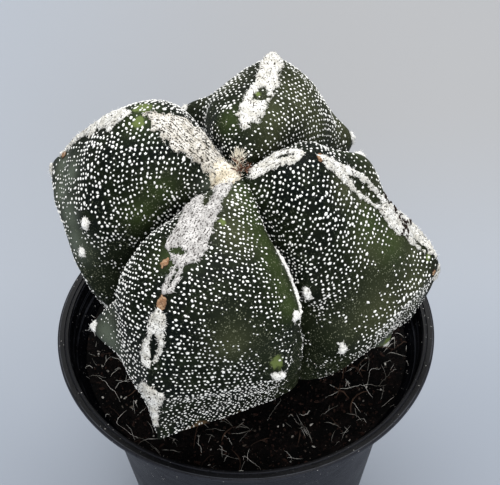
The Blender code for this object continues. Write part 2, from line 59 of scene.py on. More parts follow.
print("fixed model:", len(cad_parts), "nodes, rim at", round(RIM, 1), "mm")

# %% [markdown]
# ## The camera
#
# The photograph looks down on the pot at about 46 degrees. The camera was solved from the rim, which is a
# circle of known size that shows as an ellipse. A camera is a frame of three directions: right, up and
# backwards. They are made here from how far it looks down, how far it is turned and how far it is tipped.

# %% Camera
CAMERA_PLACE = (0.0, -276.9, 315.8)
CAMERA_DOWN = 45.588
CAMERA_TURN = -0.354
CAMERA_TIP = -1.265
CAMERA_LENS = 108.0


def camera_axes(down, turn, tip):
    down, turn, tip = (math.radians(angle) for angle in (down, turn, tip))
    ahead = Vector((math.sin(-turn) * math.cos(down), math.cos(turn) * math.cos(down), -math.sin(down)))
    level = ahead.cross(Vector((0, 0, 1))).normalized()
    above = level.cross(ahead)
    right = math.cos(tip) * level + math.sin(tip) * above
    up = math.cos(tip) * above - math.sin(tip) * level
    return right, up, -ahead


camera_data = bpy.data.cameras.new("camera")
camera_data.lens = CAMERA_LENS
camera_data.sensor_width = 36.0
camera = bpy.data.objects.new("camera", camera_data)
bpy.context.scene.collection.objects.link(camera)
camera_matrix = Matrix(camera_axes(CAMERA_DOWN, CAMERA_TURN, CAMERA_TIP)).transposed().to_4x4()
camera_matrix.translation = (Vector(CAMERA_PLACE) + Vector((0, 0, RIM))) * MM
camera.matrix_world = camera_matrix
bpy.context.scene.camera = camera
bpy.context.scene.view_settings.view_transform = "Standard"
print("camera at", [round(value, 3) for value in camera.location])

# %% [markdown]
# ## Helpers for nodes and meshes
#
# Materials and Geometry Nodes are both trees of nodes, so one small function adds a node to either: it sets
# the node's own options, then gives each input a number or a link. Sizes in this script are millimetres,
# with heights counted from the pot's rim. `make_piece` turns them into metres above the table.

# %% Node and mesh helpers


def add_node(tree, kind, inputs=None, **options):
    """A new node, with options set first, then inputs given as numbers or as sockets to link."""
    made = tree.nodes.new(kind)
    for name, value in options.items():
        setattr(made, name, value)
    for name, value in (inputs or {}).items():
        socket = made.inputs[name]
        if isinstance(value, bpy.types.NodeSocket):
            tree.links.new(value, socket)
        else:
            socket.default_value = value
    return made


def put_in_scene(name, data):
    made = bpy.data.objects.new(name, data)
    bpy.context.scene.collection.objects.link(made)
    return made


def make_piece(name, points, faces, material=None, smooth=True):
    """A mesh object from points in millimetres above the rim's plane."""
    mesh = bpy.data.meshes.new(name)
    metres = (np.asarray(points, float).reshape(-1, 3) + (0.0, 0.0, RIM)) * MM
    mesh.from_pydata(metres.tolist(), [], [tuple(face) for face in faces])
    if material:
        mesh.materials.append(material)
    if smooth and len(faces):
        mesh.shade_smooth()
    mesh.update()
    return put_in_scene(name, mesh)


def give_attribute(piece, name, values, kind="FLOAT"):
    """Stores a number or a vector for each vertex, which materials and Geometry Nodes can read by name."""
    values = np.asarray(values, np.float32)
    layer = piece.data.attributes.new(name, kind, "POINT")
    layer.data.foreach_set("vector" if kind == "FLOAT_VECTOR" else "value", values.ravel())


def grow_tree(name, **sizes):
    """An empty Geometry Nodes tree with a geometry input, named inputs, and a geometry output."""
    tree = bpy.data.node_groups.new(name, "GeometryNodeTree")
    kinds = {int: "NodeSocketInt", float: "NodeSocketFloat"}
    tree.interface.new_socket("Geometry", in_out="INPUT", socket_type="NodeSocketGeometry")
    for label, value in sizes.items():
        kind = kinds.get(type(value), "NodeSocketMaterial")
        socket = tree.interface.new_socket(label, in_out="INPUT", socket_type=kind)
        if kind != "NodeSocketMaterial":
            socket.default_value = value
    tree.interface.new_socket("Geometry", in_out="OUTPUT", socket_type="NodeSocketGeometry")
    return tree, add_node(tree, "NodeGroupInput").outputs


def end_tree(tree, geometry, material):
    """Ends a tree with Realize Instances and Set Material."""
    real = add_node(tree, "GeometryNodeRealizeInstances", {"Geometry": geometry}).outputs["Geometry"]
    painted = add_node(tree, "GeometryNodeSetMaterial", {"Geometry": real, "Material": material})
    add_node(tree, "NodeGroupOutput", {0: painted.outputs["Geometry"]})


def run_tree(tree, source, name, **values):
    """Runs a tree on an object and returns the result as a plain mesh object. The source is removed."""
    modifier = source.modifiers.new("nodes", "NODES")
    modifier.node_group = tree
    for label, value in values.items():
        modifier[tree.interface.items_tree[label].identifier] = value
    graph = bpy.context.evaluated_depsgraph_get()
    mesh = bpy.data.meshes.new_from_object(source.evaluated_get(graph))
    mesh.name = name
    bpy.data.objects.remove(source, do_unlink=True)
    return put_in_scene(name, mesh)


def settle(piece, slot, *replaced):
    """The last calls for a piece of the object."""
    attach(piece, "root")
    if replaced:
        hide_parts(*replaced)
    faces = sum(len(face.vertices) - 2 for face in piece.data.polygons)
    print(f"{piece.name}: {faces} triangles")
    return piece


# %% Material helpers


def begin_material(name, roughness, specular=0.5):
    """A material with its tree, its shader, and the place on the object in millimetres."""
    material = bpy.data.materials.new(name)
    material.use_nodes = True
    tree = material.node_tree
    shader = tree.nodes["Principled BSDF"]
    shader.inputs["Roughness"].default_value = roughness
    shader.inputs["Specular IOR Level"].default_value = specular
    where = add_node(tree, "ShaderNodeTexCoord").outputs["Object"]
    place = add_node(tree, "ShaderNodeMapping", {"Vector": where, "Scale": (1 / MM, 1 / MM, 1 / MM)})
    return material, tree, shader, place.outputs["Vector"]


def cloud(tree, place, size, detail=3.0):
    """Soft noise from 0 to 1 whose lumps are about `size` millimetres across."""
    made = add_node(tree, "ShaderNodeTexNoise", {"Vector": place, "Scale": 1 / size, "Detail": detail})
    return made.outputs["Fac"]


def cells(tree, place, size):
    """Voronoi cells about `size` millimetres across: the distance to each cell's middle."""
    made = add_node(tree, "ShaderNodeTexVoronoi", {"Vector": place, "Scale": 1 / size})
    return made.outputs["Distance"]


def band(tree, value, start, end):
    """0 where the value is at start, 1 where it is at end, smooth between."""
    made = add_node(tree, "ShaderNodeMapRange", {"Value": value, "From Min": start, "From Max": end},
                    interpolation_type="SMOOTHSTEP")
    return made.outputs["Result"]


def combine(tree, operation, first, second):
    made = add_node(tree, "ShaderNodeMath", {0: first, 1: second}, operation=operation)
    return made.outputs["Value"]


def paint(tree, factor, under, over):
    """One colour over another, as far as the factor says."""
    made = add_node(tree, "ShaderNodeMix", {"Factor": factor}, data_type="RGBA")
    for index, colour in ((6, under), (7, over)):
        if isinstance(colour, bpy.types.NodeSocket):
            tree.links.new(colour, made.inputs[index])
        else:
            made.inputs[index].default_value = (*colour, 1.0)
    return made.outputs[2]


def stored(tree, name):
    return add_node(tree, "ShaderNodeAttribute", attribute_name=name).outputs["Fac"]


def shaded(value, colour):
    """A darker tone of a colour."""
    return tuple(value * part for part in colour)


def bump(tree, shader, height, distance, strength):
    """Small relief in the shading. The distance is in millimetres."""
    made = add_node(tree, "ShaderNodeBump",
                    {"Height": height, "Distance": distance * MM, "Strength": strength})
    tree.links.new(made.outputs["Normal"], shader.inputs["Normal"])


# %% [markdown]
# ## The shape of the stem
#
# A rib's crest is a curve that starts at the crown, rises over the rib's hump, turns its corner and runs
# under to the foot. The folds between ribs are curves of the same kind. A flank is the surface between a
# crest and a fold: at each step down, a Bezier curve leaves the crest at its own angle and lands square in
# the fold. Any place on the skin then has an address: the rib, the rib across the fold, the step from the
# crown, and the share of the way from crest to fold. Everything that grows on the skin is placed with it.

# %% The stem's curves
CROWN = (-0.9, -5.0)
CROWN_HEIGHT = 63.3
STEPS = 12
RIBS = {
    "left": (160, [(0, 63.3), (5, 64.8), (12, 71), (23, 75.5), (36, 70), (46, 58.5), (52, 50),
                   (49.1, 34), (47.4, 17), (43.8, 4), (27, -3), (15, -8), (13, -18)]),
    "front": (242, [(0, 63.3), (5, 63.2), (13, 63.2), (26, 62), (37, 58), (44.5, 48), (48.5, 32),
                    (48, 22), (47, 14), (45, 8), (27, -1), (15, -8), (13, -18)]),
    "right": (2, [(0, 63.3), (5, 64.2), (12, 67.4), (20, 67), (32, 53), (44, 37), (52.2, 28),
                  (51.8, 19), (48.4, 10), (44.5, 3), (27, -3), (15, -8), (13, -18)]),
    "back": (76, [(0, 63.3), (3, 67), (10, 71), (23, 73), (38, 70.5), (49, 58), (53, 45),
                  (51, 32), (49, 17), (45, 4), (27, -3), (15, -8), (13, -18)]),
}
GROOVE_PROFILE = [(0, 63.3), (3.5, 60), (7, 53), (10, 45), (13.5, 36), (17, 27), (20, 19),
                  (21.5, 14), (22.8, 11), (22.5, 7.5), (15, -1), (13, -8), (12.5, -18)]
GROOVES = [("right", 38, "back"), ("back", 116, "left"), ("left", 203, "front"), ("front", 305, "right")]
CREST_ANGLE = [85, 88, 88, 86, 82, 74, 60, 50, 42, 36, 40, 66, 72]
CREST_REACH = [0.40, 0.42, 0.44, 0.46, 0.46, 0.44, 0.42, 0.42, 0.40, 0.36, 0.35, 0.45, 0.45]
FOLD_REACH = [0.50, 0.70, 0.75, 0.72, 0.68, 0.62, 0.54, 0.46, 0.38, 0.28, 0.20, 0.05, 0.0]
HANDLE_SLOPE = [1, 1, 1, 1, 1, 1, 1, 0.7, 0.3, 0, 0, 0, 0]
FLATTER = {
    ("back", "left"): [0, 0, 0, -12, -30, -18, -6, 0, 0, 0, 0, 0, 0],
    ("back", "right"): [0, 0, 0, -6, -14, -6, -4, 0, 0, 0, 0, 0, 0],
    ("right", "back"): [0, 0, 4, 6, 30, 26, 14, 0, 0, 0, 0, 0, 0],
    ("left", "back"): [0, 0, 0, 0, 0, -6, -16, -18, -10, 0, 0, 0, 0],
    ("front", "left"): [0, 0, 2, 4, 5, 6, 6, 4, 0, 0, 0, 0, 0],
    ("front", "right"): [0, 0, 0, 4, 6, 4, 2, 0, -2, 0, 0, 0, 0],
}
FULLER = {
    ("front", "left"): [0, 0.12, 0.14, 0.10, 0.04, 0, 0, 0, 0, 0, 0, 0, 0],
    ("front", "right"): [0, 0.04, 0.06, 0.08, 0.06, 0.03, -0.02, -0.05, -0.05, -0.03, 0, 0, 0],
}
# Side tubercles: rib, rib across the groove, step, share, height, radius
TUBERCLES = [
    ("left", "front", 4.3, 0.47, 1.6, 3.4),
    ("left", "front", 4.9, 0.53, 1.8, 3.4),
    ("left", "back", 4.6, 0.50, 2.4, 4.0),
    ("left", "back", 6.6, 0.50, 2.4, 4.0),
    ("front", "left", 5.6, 0.52, 6.4, 5.2),
    ("front", "right", 4.3, 0.62, 1.8, 4.6),
    ("front", "right", 5.7, 0.52, 3.2, 3.6),
    ("right", "front", 4.15, 0.74, 3.0, 3.8),
    ("right", "front", 5.75, 0.69, 2.8, 4.2),
    ("right", "front", 8.5, 0.26, 2.2, 3.0),
    ("right", "back", 3.9, 0.36, 5.1, 7.2),
    ("right", "back", 6.0, 0.55, 2.6, 4.0),
    ("back", "right", 5.0, 0.50, 4.2, 4.8),
    ("back", "right", 7.0, 0.50, 2.6, 4.0),
    ("back", "left", 3.8, 0.52, 5.2, 4.4),
    ("back", "left", 6.0, 0.52, 2.6, 4.0),
]


def along(profile, step):
    """A smooth curve through a profile's points, and its direction, at steps counted from the crown."""
    knots = np.asarray(profile, float)
    last = len(knots) - 1
    step = np.clip(np.asarray(step, float), 0, last)
    index = np.minimum(step.astype(int), last - 1)
    part = (step - index)[..., None]
    padded = np.vstack([2 * knots[0] - knots[1], knots, 2 * knots[-1] - knots[-2]])
    before, here, there, after = (padded[index + k] for k in range(4))
    bend = 2 * before - 5 * here + 4 * there - after
    twist = -before + 3 * here - 3 * there + after
    place = here + 0.5 * ((there - before) * part + bend * part ** 2 + twist * part ** 3)
    heading = 0.5 * ((there - before) + 2 * bend * part + 3 * twist * part ** 2)
    return place, heading


def table_at(table, step):
    return along(np.array(table)[:, None], step)[0]


def meridian(azimuth, profile, step):
    """Points down one crest or fold, and the direction that its flanks' handles follow there."""
    place, heading = along(profile, step)
    turn = math.radians(azimuth)
    outward = np.array([math.cos(turn), math.sin(turn), 0.0])
    up = np.array([0.0, 0.0, 1.0])
    points = np.array([*CROWN, 0.0]) + place[..., :1] * outward + place[..., 1:] * up
    normal = -heading[..., 1:] * outward + heading[..., :1] * up
    normal /= np.linalg.norm(normal, axis=-1, keepdims=True) + 1e-9
    normal = normal * (1, 1, 0) + normal * (0, 0, 1) * table_at(HANDLE_SLOPE, step)
    normal /= np.linalg.norm(normal, axis=-1, keepdims=True) + 1e-9
    return points, normal, outward


def groove_azimuth(rib, other):
    for before, azimuth, after in GROOVES:
        if {before, after} == {rib, other}:
            return azimuth, before == rib
    raise ValueError("no groove between these ribs")


def flank(rib, other, steps, shares):
    """The smooth flank from a rib's crest (share 0) to the fold (share 1) towards another rib."""
    azimuth, profile = RIBS[rib]
    fold_azimuth, onward = groove_azimuth(rib, other)
    crest, crest_out, outward = meridian(azimuth, profile, steps)
    fold, fold_out, _ = meridian(fold_azimuth, GROOVE_PROFILE, steps)
    sideways = np.array([-outward[1], outward[0], 0.0]) * (1 if onward else -1)
    span = np.linalg.norm(crest - fold, axis=-1, keepdims=True)
    none = [0] * (STEPS + 1)
    angle = np.radians(table_at(np.add(CREST_ANGLE, FLATTER.get((rib, other), none)), steps))
    crest_reach = table_at(CREST_REACH, steps)
    fold_reach = table_at(np.add(FOLD_REACH, FULLER.get((rib, other), none)), steps)
    crest_handle = crest + span * crest_reach * (sideways * np.sin(angle) - crest_out * np.cos(angle))
    fold_handle = fold + span * fold_reach * fold_out
    s = shares[..., None]
    return ((1 - s) ** 3 * crest + 3 * (1 - s) ** 2 * s * crest_handle
            + 3 * (1 - s) * s ** 2 * fold_handle + s ** 3 * fold)


print("ribs:", ", ".join(RIBS), "and", len(TUBERCLES), "side tubercles")

# %% [markdown]
# The skin is the flank with two kinds of relief along its normals: the side tubercles, which are round
# bumps at known places, and a slight unevenness that any living surface has. The unevenness is a sum of a
# few waves in fixed directions, which is quick to work out for many points at once.

# %% The skin's own relief
SWELL_HEIGHT = 0.16
SWELL_SIZES = (23.0, 17.0, 12.0, 9.0, 6.5)
SWELL_SEED = 3


def make_swell():
    rng = np.random.default_rng(SWELL_SEED)
    waves = []
    for size in SWELL_SIZES:
        for _ in range(3):
            way = rng.normal(size=3)
            way *= math.tau / size / np.linalg.norm(way)
            waves.append((way, rng.uniform(0, math.tau), SWELL_HEIGHT * size / SWELL_SIZES[0]))
    return waves


SWELL = make_swell()


def skin_normals(rib, other, steps, shares):
    little = 0.01
    down = flank(rib, other, np.minimum(steps + little, STEPS), shares)
    down = down - flank(rib, other, np.maximum(steps - little, 0), shares)
    across = flank(rib, other, steps, np.minimum(shares + little, 1))
    across = across - flank(rib, other, steps, np.maximum(shares - little, 0))
    normal = np.cross(down, across)
    if not groove_azimuth(rib, other)[1]:
        normal = -normal
    return normal / (np.linalg.norm(normal, axis=-1, keepdims=True) + 1e-9)


def skin(rib, other, steps, shares):
    """Points of the finished skin, and the outward directions there."""
    steps, shares = np.broadcast_arrays(np.asarray(steps, float), np.asarray(shares, float))
    points = flank(rib, other, steps, shares)
    normals = skin_normals(rib, other, steps, shares)
    rise = np.zeros(points.shape[:-1])
    for name, across, step, share, height, radius in TUBERCLES:
        if (name, across) == (rib, other):
            centre = flank(rib, other, np.array(step), np.array(share))
            distance = np.linalg.norm(points - centre, axis=-1)
            rise += height * np.exp(-(distance / radius) ** 2)
    # Tubercles fade out towards the fold and towards the crest
    rise *= np.clip((1 - shares) / 0.15, 0, 1) * np.clip(shares / 0.08, 0, 1)
    for way, start, height in SWELL:
        rise += height * np.sin(points @ way + start)
    return points + normals * rise[..., None], normals


def spot(rib, other, step, share):
    return skin(rib, other, np.array(step), np.array(share))[0]


def nearness(points, flanks):
    """How near each point is to the soft spots listed for some flanks, 1 at a spot's middle."""
    near = np.zeros(points.shape[:-1])
    for (rib, other), spots in flanks.items():
        for step, share, radius in spots:
            distance = np.linalg.norm(points - spot(rib, other, step, share), axis=-1)
            near = np.maximum(near, np.exp(-(distance / radius) ** 2))
    return near


# %% [markdown]
# The skin is not one green. Some areas have hardly any flecks, and there its fine speckle shows. Edges that
# the light reaches are painted a fresher, lighter green: partly fresher skin, partly painted light. The olive
# areas are partly olive skin and partly painted light where the light falls on them. Old parts are grey, and
# their grey is partly a painted sheen. Wool that has worn off leaves lime or brown marks. These areas are
# soft spots on the skin, listed for each flank. The stem stores each area as an attribute, one number per
# vertex, which the skin's material reads. The flecks use the same lists.

# %% Areas of the skin
# For each area and flank: the spots as (step, share, radius)
AREAS = {
    "bare": {
        ("left", "front"): [
            (4.9, 0.58, 3.5), (5.25, 0.6, 5.0), (5.6, 0.66, 5.5), (6.2, 0.64, 5.5), (2.16, 0.46, 3.4),
            (2.66, 0.6, 4.4), (3.31, 0.69, 4.6), (4.12, 0.71, 4.4), (4.97, 0.71, 5.0), (4.85, 0.42, 3.0),
            (7.6, 0.62, 6.0), (8.6, 0.55, 6.0),
        ],
        ("front", "left"): [(4.72, 0.44, 3.2), (5.1, 0.42, 3.6)],
        ("front", "right"): [
            (4.47, 0.31, 6.5), (4.72, 0.35, 7.0), (4.97, 0.44, 7.0), (5.2, 0.48, 5.5), (2.46, 0.64, 5.0),
            (3.01, 0.66, 6.5), (3.56, 0.66, 6.5), (4.02, 0.64, 5.0), (4.9, 0.64, 4.5), (5.3, 0.7, 6.0),
            (6.0, 0.72, 6.5), (6.8, 0.72, 7.0), (7.6, 0.72, 7.0), (8.4, 0.8, 7.5),
        ],
        ("right", "front"): [
            (4.82, 0.08, 6.0), (4.72, 0.23, 7.5), (4.77, 0.4, 7.0), (4.97, 0.54, 6.5), (5.27, 0.65, 6.0),
            (5.47, 0.77, 6.0), (5.0, 0.86, 6.0), (6.4, 0.84, 5.0), (7.3, 0.66, 6.0), (8.2, 0.6, 6.0),
            (8.6, 0.86, 6.0), (7.6, 0.9, 5.0),
        ],
        ("back", "left"): [(2.0, 0.3, 4.0), (2.6, 0.45, 5.0)],
        ("back", "right"): [(4.9, 0.3, 6.0)],
        ("left", "back"): [(4.6, 0.3, 5.0)],
    },
    # Fresh areas: a lighter green, partly painted light where the light reaches the edges
    "fresh_and_lit": {
        ("front", "right"): [
            (1.2, 0.4, 3.0), (1.56, 0.52, 3.4), (2.01, 0.56, 4.0), (2.46, 0.6, 4.6), (3.01, 0.62, 5.0),
            (3.56, 0.6, 4.6), (4.02, 0.6, 4.0),
        ],
        ("front", "left"): [(3.4, 0.05, 4.0)],
        ("right", "front"): [(4.2, 0.14, 6.0), (4.6, 0.12, 6.0)],
        ("left", "front"): [(2.4, 0.52, 4.0), (3.0, 0.64, 4.4), (3.15, 0.05, 4.0)],
        ("back", "left"): [(2.1, 0.2, 4.0)],
        ("right", "back"): [(3.6, 0.4, 6.0)],
        ("left", "back"): [(3.15, 0.04, 4.0)],
    },
    # Olive areas: partly olive skin, partly painted light where the light falls
    "olive_and_lit": {
        ("back", "right"): [
            (1.8, 0.45, 5.0), (2.4, 0.2, 7.0), (3.2, 0.28, 9.0), (4.2, 0.2, 9.0), (4.6, 0.45, 8.0),
            (3.2, 0.5, 7.0), (6.2, 0.2, 8.0),
        ],
        ("back", "left"): [(3.4, 0.22, 6.0), (4.2, 0.25, 8.0)],
        ("front", "right"): [(1.6, 0.25, 4.0), (2.4, 0.3, 6.0), (5.0, 0.3, 5.0)],
        ("front", "left"): [(2.0, 0.35, 4.0)],
        ("right", "front"): [
            (3.6, 0.1, 5.0), (4.3, 0.2, 7.0), (5.6, 0.2, 8.0), (5.4, 0.42, 9.0), (4.0, 0.06, 4.0),
            (4.7, 0.08, 4.5), (5.2, 0.07, 4.0), (6.6, 0.4, 6.0), (7.0, 0.15, 6.0),
        ],
        ("left", "back"): [(3.6, 0.3, 7.0)],
        ("right", "back"): [(4.2, 0.25, 7.0)],
    },
    # Grey areas: old grey skin, partly a painted sheen
    "grey_and_sheen": {
        ("left", "front"): [
            (5.17, 0.06, 4.0), (5.17, 0.19, 4.6), (4.97, 0.33, 5.0), (5.1, 0.45, 5.0), (4.75, 0.16, 4.0),
            (7.33, 0.31, 5.0), (6.2, 0.35, 5.0), (1.0, 0.75, 2.4),
        ],
        ("front", "left"): [(6.4, 0.6, 4.0), (5.6, 0.4, 5.0), (1.3, 0.75, 3.0)],
        ("right", "front"): [(8.5, 0.26, 4.0)],
    },
    "lime": {
        ("left", "back"): [(3.2, 0.05, 2.8)],
        ("left", "front"): [(3.12, 0.05, 2.0)],
        ("right", "back"): [(4.77, 0.03, 1.2)],
        ("right", "front"): [(5.62, 0.03, 1.2), (8.4, 0.26, 2.2)],
        ("front", "right"): [(2.31, 0.16, 1.2), (5.45, 0.52, 2.2)],
        ("back", "right"): [(2.76, 0.02, 1.2)],
    },
    "cork": {
        ("front", "left"): [(8.9, 0.25, 3.0)],
        ("front", "right"): [(8.9, 0.2, 3.5), (9.0, 0.4, 3.5)],
        ("right", "front"): [(9.0, 0.3, 3.5)],
        ("left", "front"): [(9.0, 0.3, 4.0)],
        ("back", "left"): [(9.0, 0.3, 4.0)],
        ("back", "right"): [(9.0, 0.3, 4.0)],
        ("left", "back"): [(9.0, 0.3, 4.0)],
    },
}
BODY_ROWS = 200
FLANK_COLUMNS = 48


def stem_points():
    """Points round the stem, a row for each step down, counted from the right rib's crest."""
    steps = np.linspace(0, STEPS, BODY_ROWS + 1)[1:, None]
    shares = np.linspace(0, 1, FLANK_COLUMNS + 1)
    columns = []
    for before, _, after in GROOVES:
        columns.append(skin(before, after, steps, shares[None, :-1])[0])
        columns.append(skin(after, before, steps, shares[None, :0:-1])[0])
    return np.concatenate(columns, axis=1)


def wrap_faces(rows, columns):
    """Quads round a sleeve of points, with the first row inside or on top."""
    row, column = np.meshgrid(np.arange(rows - 1), np.arange(columns), indexing="ij")
    here = (row * columns + column).ravel()
    beside = (row * columns + (column + 1) % columns).ravel()
    return np.stack([here, here + columns, beside + columns, beside], axis=1)


def close_sleeve(points, top, bottom):
    """A sleeve of points with a pole at each end: its points and faces."""
    rows, columns = points.shape[:2]
    everything = np.vstack([points.reshape(-1, 3), [top, bottom]])
    faces = [tuple(face) for face in wrap_faces(rows, columns)]
    last = (rows - 1) * columns
    for i in range(columns):
        j = (i + 1) % columns
        faces.append((rows * columns, i, j))
        faces.append((rows * columns + 1, last + j, last + i))
    return everything, faces


stem_grid = stem_points()
stem_all, stem_faces = close_sleeve(stem_grid, (*CROWN, CROWN_HEIGHT), (*CROWN, RIBS["left"][1][-1][1]))
stem = make_piece("cactus_skin", stem_all, stem_faces)
for area, flanks in AREAS.items():
    give_attribute(stem, area, nearness(stem_all, flanks))
stem_tree = BVHTree.FromPolygons([tuple(point) for point in stem_all], stem_faces)
print("stem:", len(stem_faces), "faces,", np.ptp(stem_all[:, 0]).round(1), "mm across")

# %% [markdown]
# ## The skin's material
#
# Close up, the skin is almost black green with a speckle of pale dots a third of a millimetre across. The
# dots are Voronoi cells whose middles are lightened. Noise of several sizes shifts the green between blue
# and olive, and the stored areas add the fresh, olive, grey, lime and brown parts. The fresh and olive greens
# and the grey are partly painted light: a lighter green where light falls, and a painted sheen in the grey.
# The dots are paler in the bare and olive areas. A weak shine keeps the dark parts dark, because a sky
# reflected on a black surface turns it grey.

# %% Skin material


def skin_material():
    material, tree, shader, place = begin_material("cactus_skin", 0.55, 0.06)
    bare, fresh_and_lit, olive_and_lit, grey_and_sheen, lime, cork = (stored(tree, name) for name in AREAS)
    broad = cloud(tree, place, 16.0)
    middling = cloud(tree, place, 4.0)
    ground = paint(tree, band(tree, broad, 0.38, 0.62), (0.0016, 0.0034, 0.0027), (0.0042, 0.0064, 0.0026))
    ground = paint(tree, band(tree, middling, 0.45, 0.75), ground, (0.0085, 0.0125, 0.0055))
    ground = paint(tree, combine(tree, "MULTIPLY", bare, 0.75), ground, (0.0150, 0.0200, 0.0090))
    # Painted light: the olive areas are partly olive skin, partly lighter where light falls
    ground = paint(tree, combine(tree, "MULTIPLY", olive_and_lit, 0.8), ground, (0.0500, 0.0560, 0.0260))
    # Painted light: the fresh areas are a lighter green where light reaches the edges
    ground = paint(tree, combine(tree, "MULTIPLY", fresh_and_lit, 0.8), ground, (0.0330, 0.0500, 0.0140))
    # Grey skin, brightened partly as a painted sheen
    ground = paint(tree, combine(tree, "MULTIPLY", grey_and_sheen, 0.85), ground, (0.1250, 0.1480, 0.1100))
    speckle = band(tree, cells(tree, place, 0.56), 0.40, 0.14)
    patchy = band(tree, cloud(tree, place, 1.6), 0.34, 0.66)
    speckle = combine(tree, "MULTIPLY", speckle, patchy)
    # The dots are paler in bare areas, and in olive areas also as painted light
    pale_dot_share = combine(tree, "MAXIMUM", bare, combine(tree, "MULTIPLY", olive_and_lit, 0.6))
    dots = paint(tree, pale_dot_share, (0.055, 0.064, 0.044), (0.270, 0.285, 0.190))
    colour = paint(tree, combine(tree, "MULTIPLY", speckle, 0.9), ground, dots)
    pits = band(tree, cells(tree, place, 0.8), 0.20, 0.08)
    colour = paint(tree, combine(tree, "MULTIPLY", pits, 0.7), colour, (0.0015, 0.0030, 0.0015))
    pale_marks = band(tree, combine(tree, "ADD", lime, cloud(tree, place, 1.2)), 0.85, 1.25)
    colour = paint(tree, pale_marks, colour, (0.115, 0.150, 0.045))
    brown = band(tree, combine(tree, "ADD", cork, cloud(tree, place, 2.0)), 0.85, 1.25)
    colour = paint(tree, brown, colour, (0.10, 0.062, 0.030))
    tree.links.new(colour, shader.inputs["Base Color"])
    relief = combine(tree, "ADD", combine(tree, "MULTIPLY", speckle, 0.4), cloud(tree, place, 0.6))
    bump(tree, shader, relief, 0.16, 0.8)
    return material


stem.data.materials.append(skin_material())
settle(stem, "cactus_skin", "cactus_body")

# %% [markdown]
# ## The wool on the crests
#
# A wool patch is a thin felt pad that follows the crest. Its address has a step and a width in millimetres
# from the crest, plus towards the next rib round and minus towards the rib before. Two lists of stations
# give its edges, and further lists give the holes that wear has left. The pad is a fine grid: how far each
# point lies inside the outline decides how high it rises, noise frays the outline, and cells outside it
# are left out.

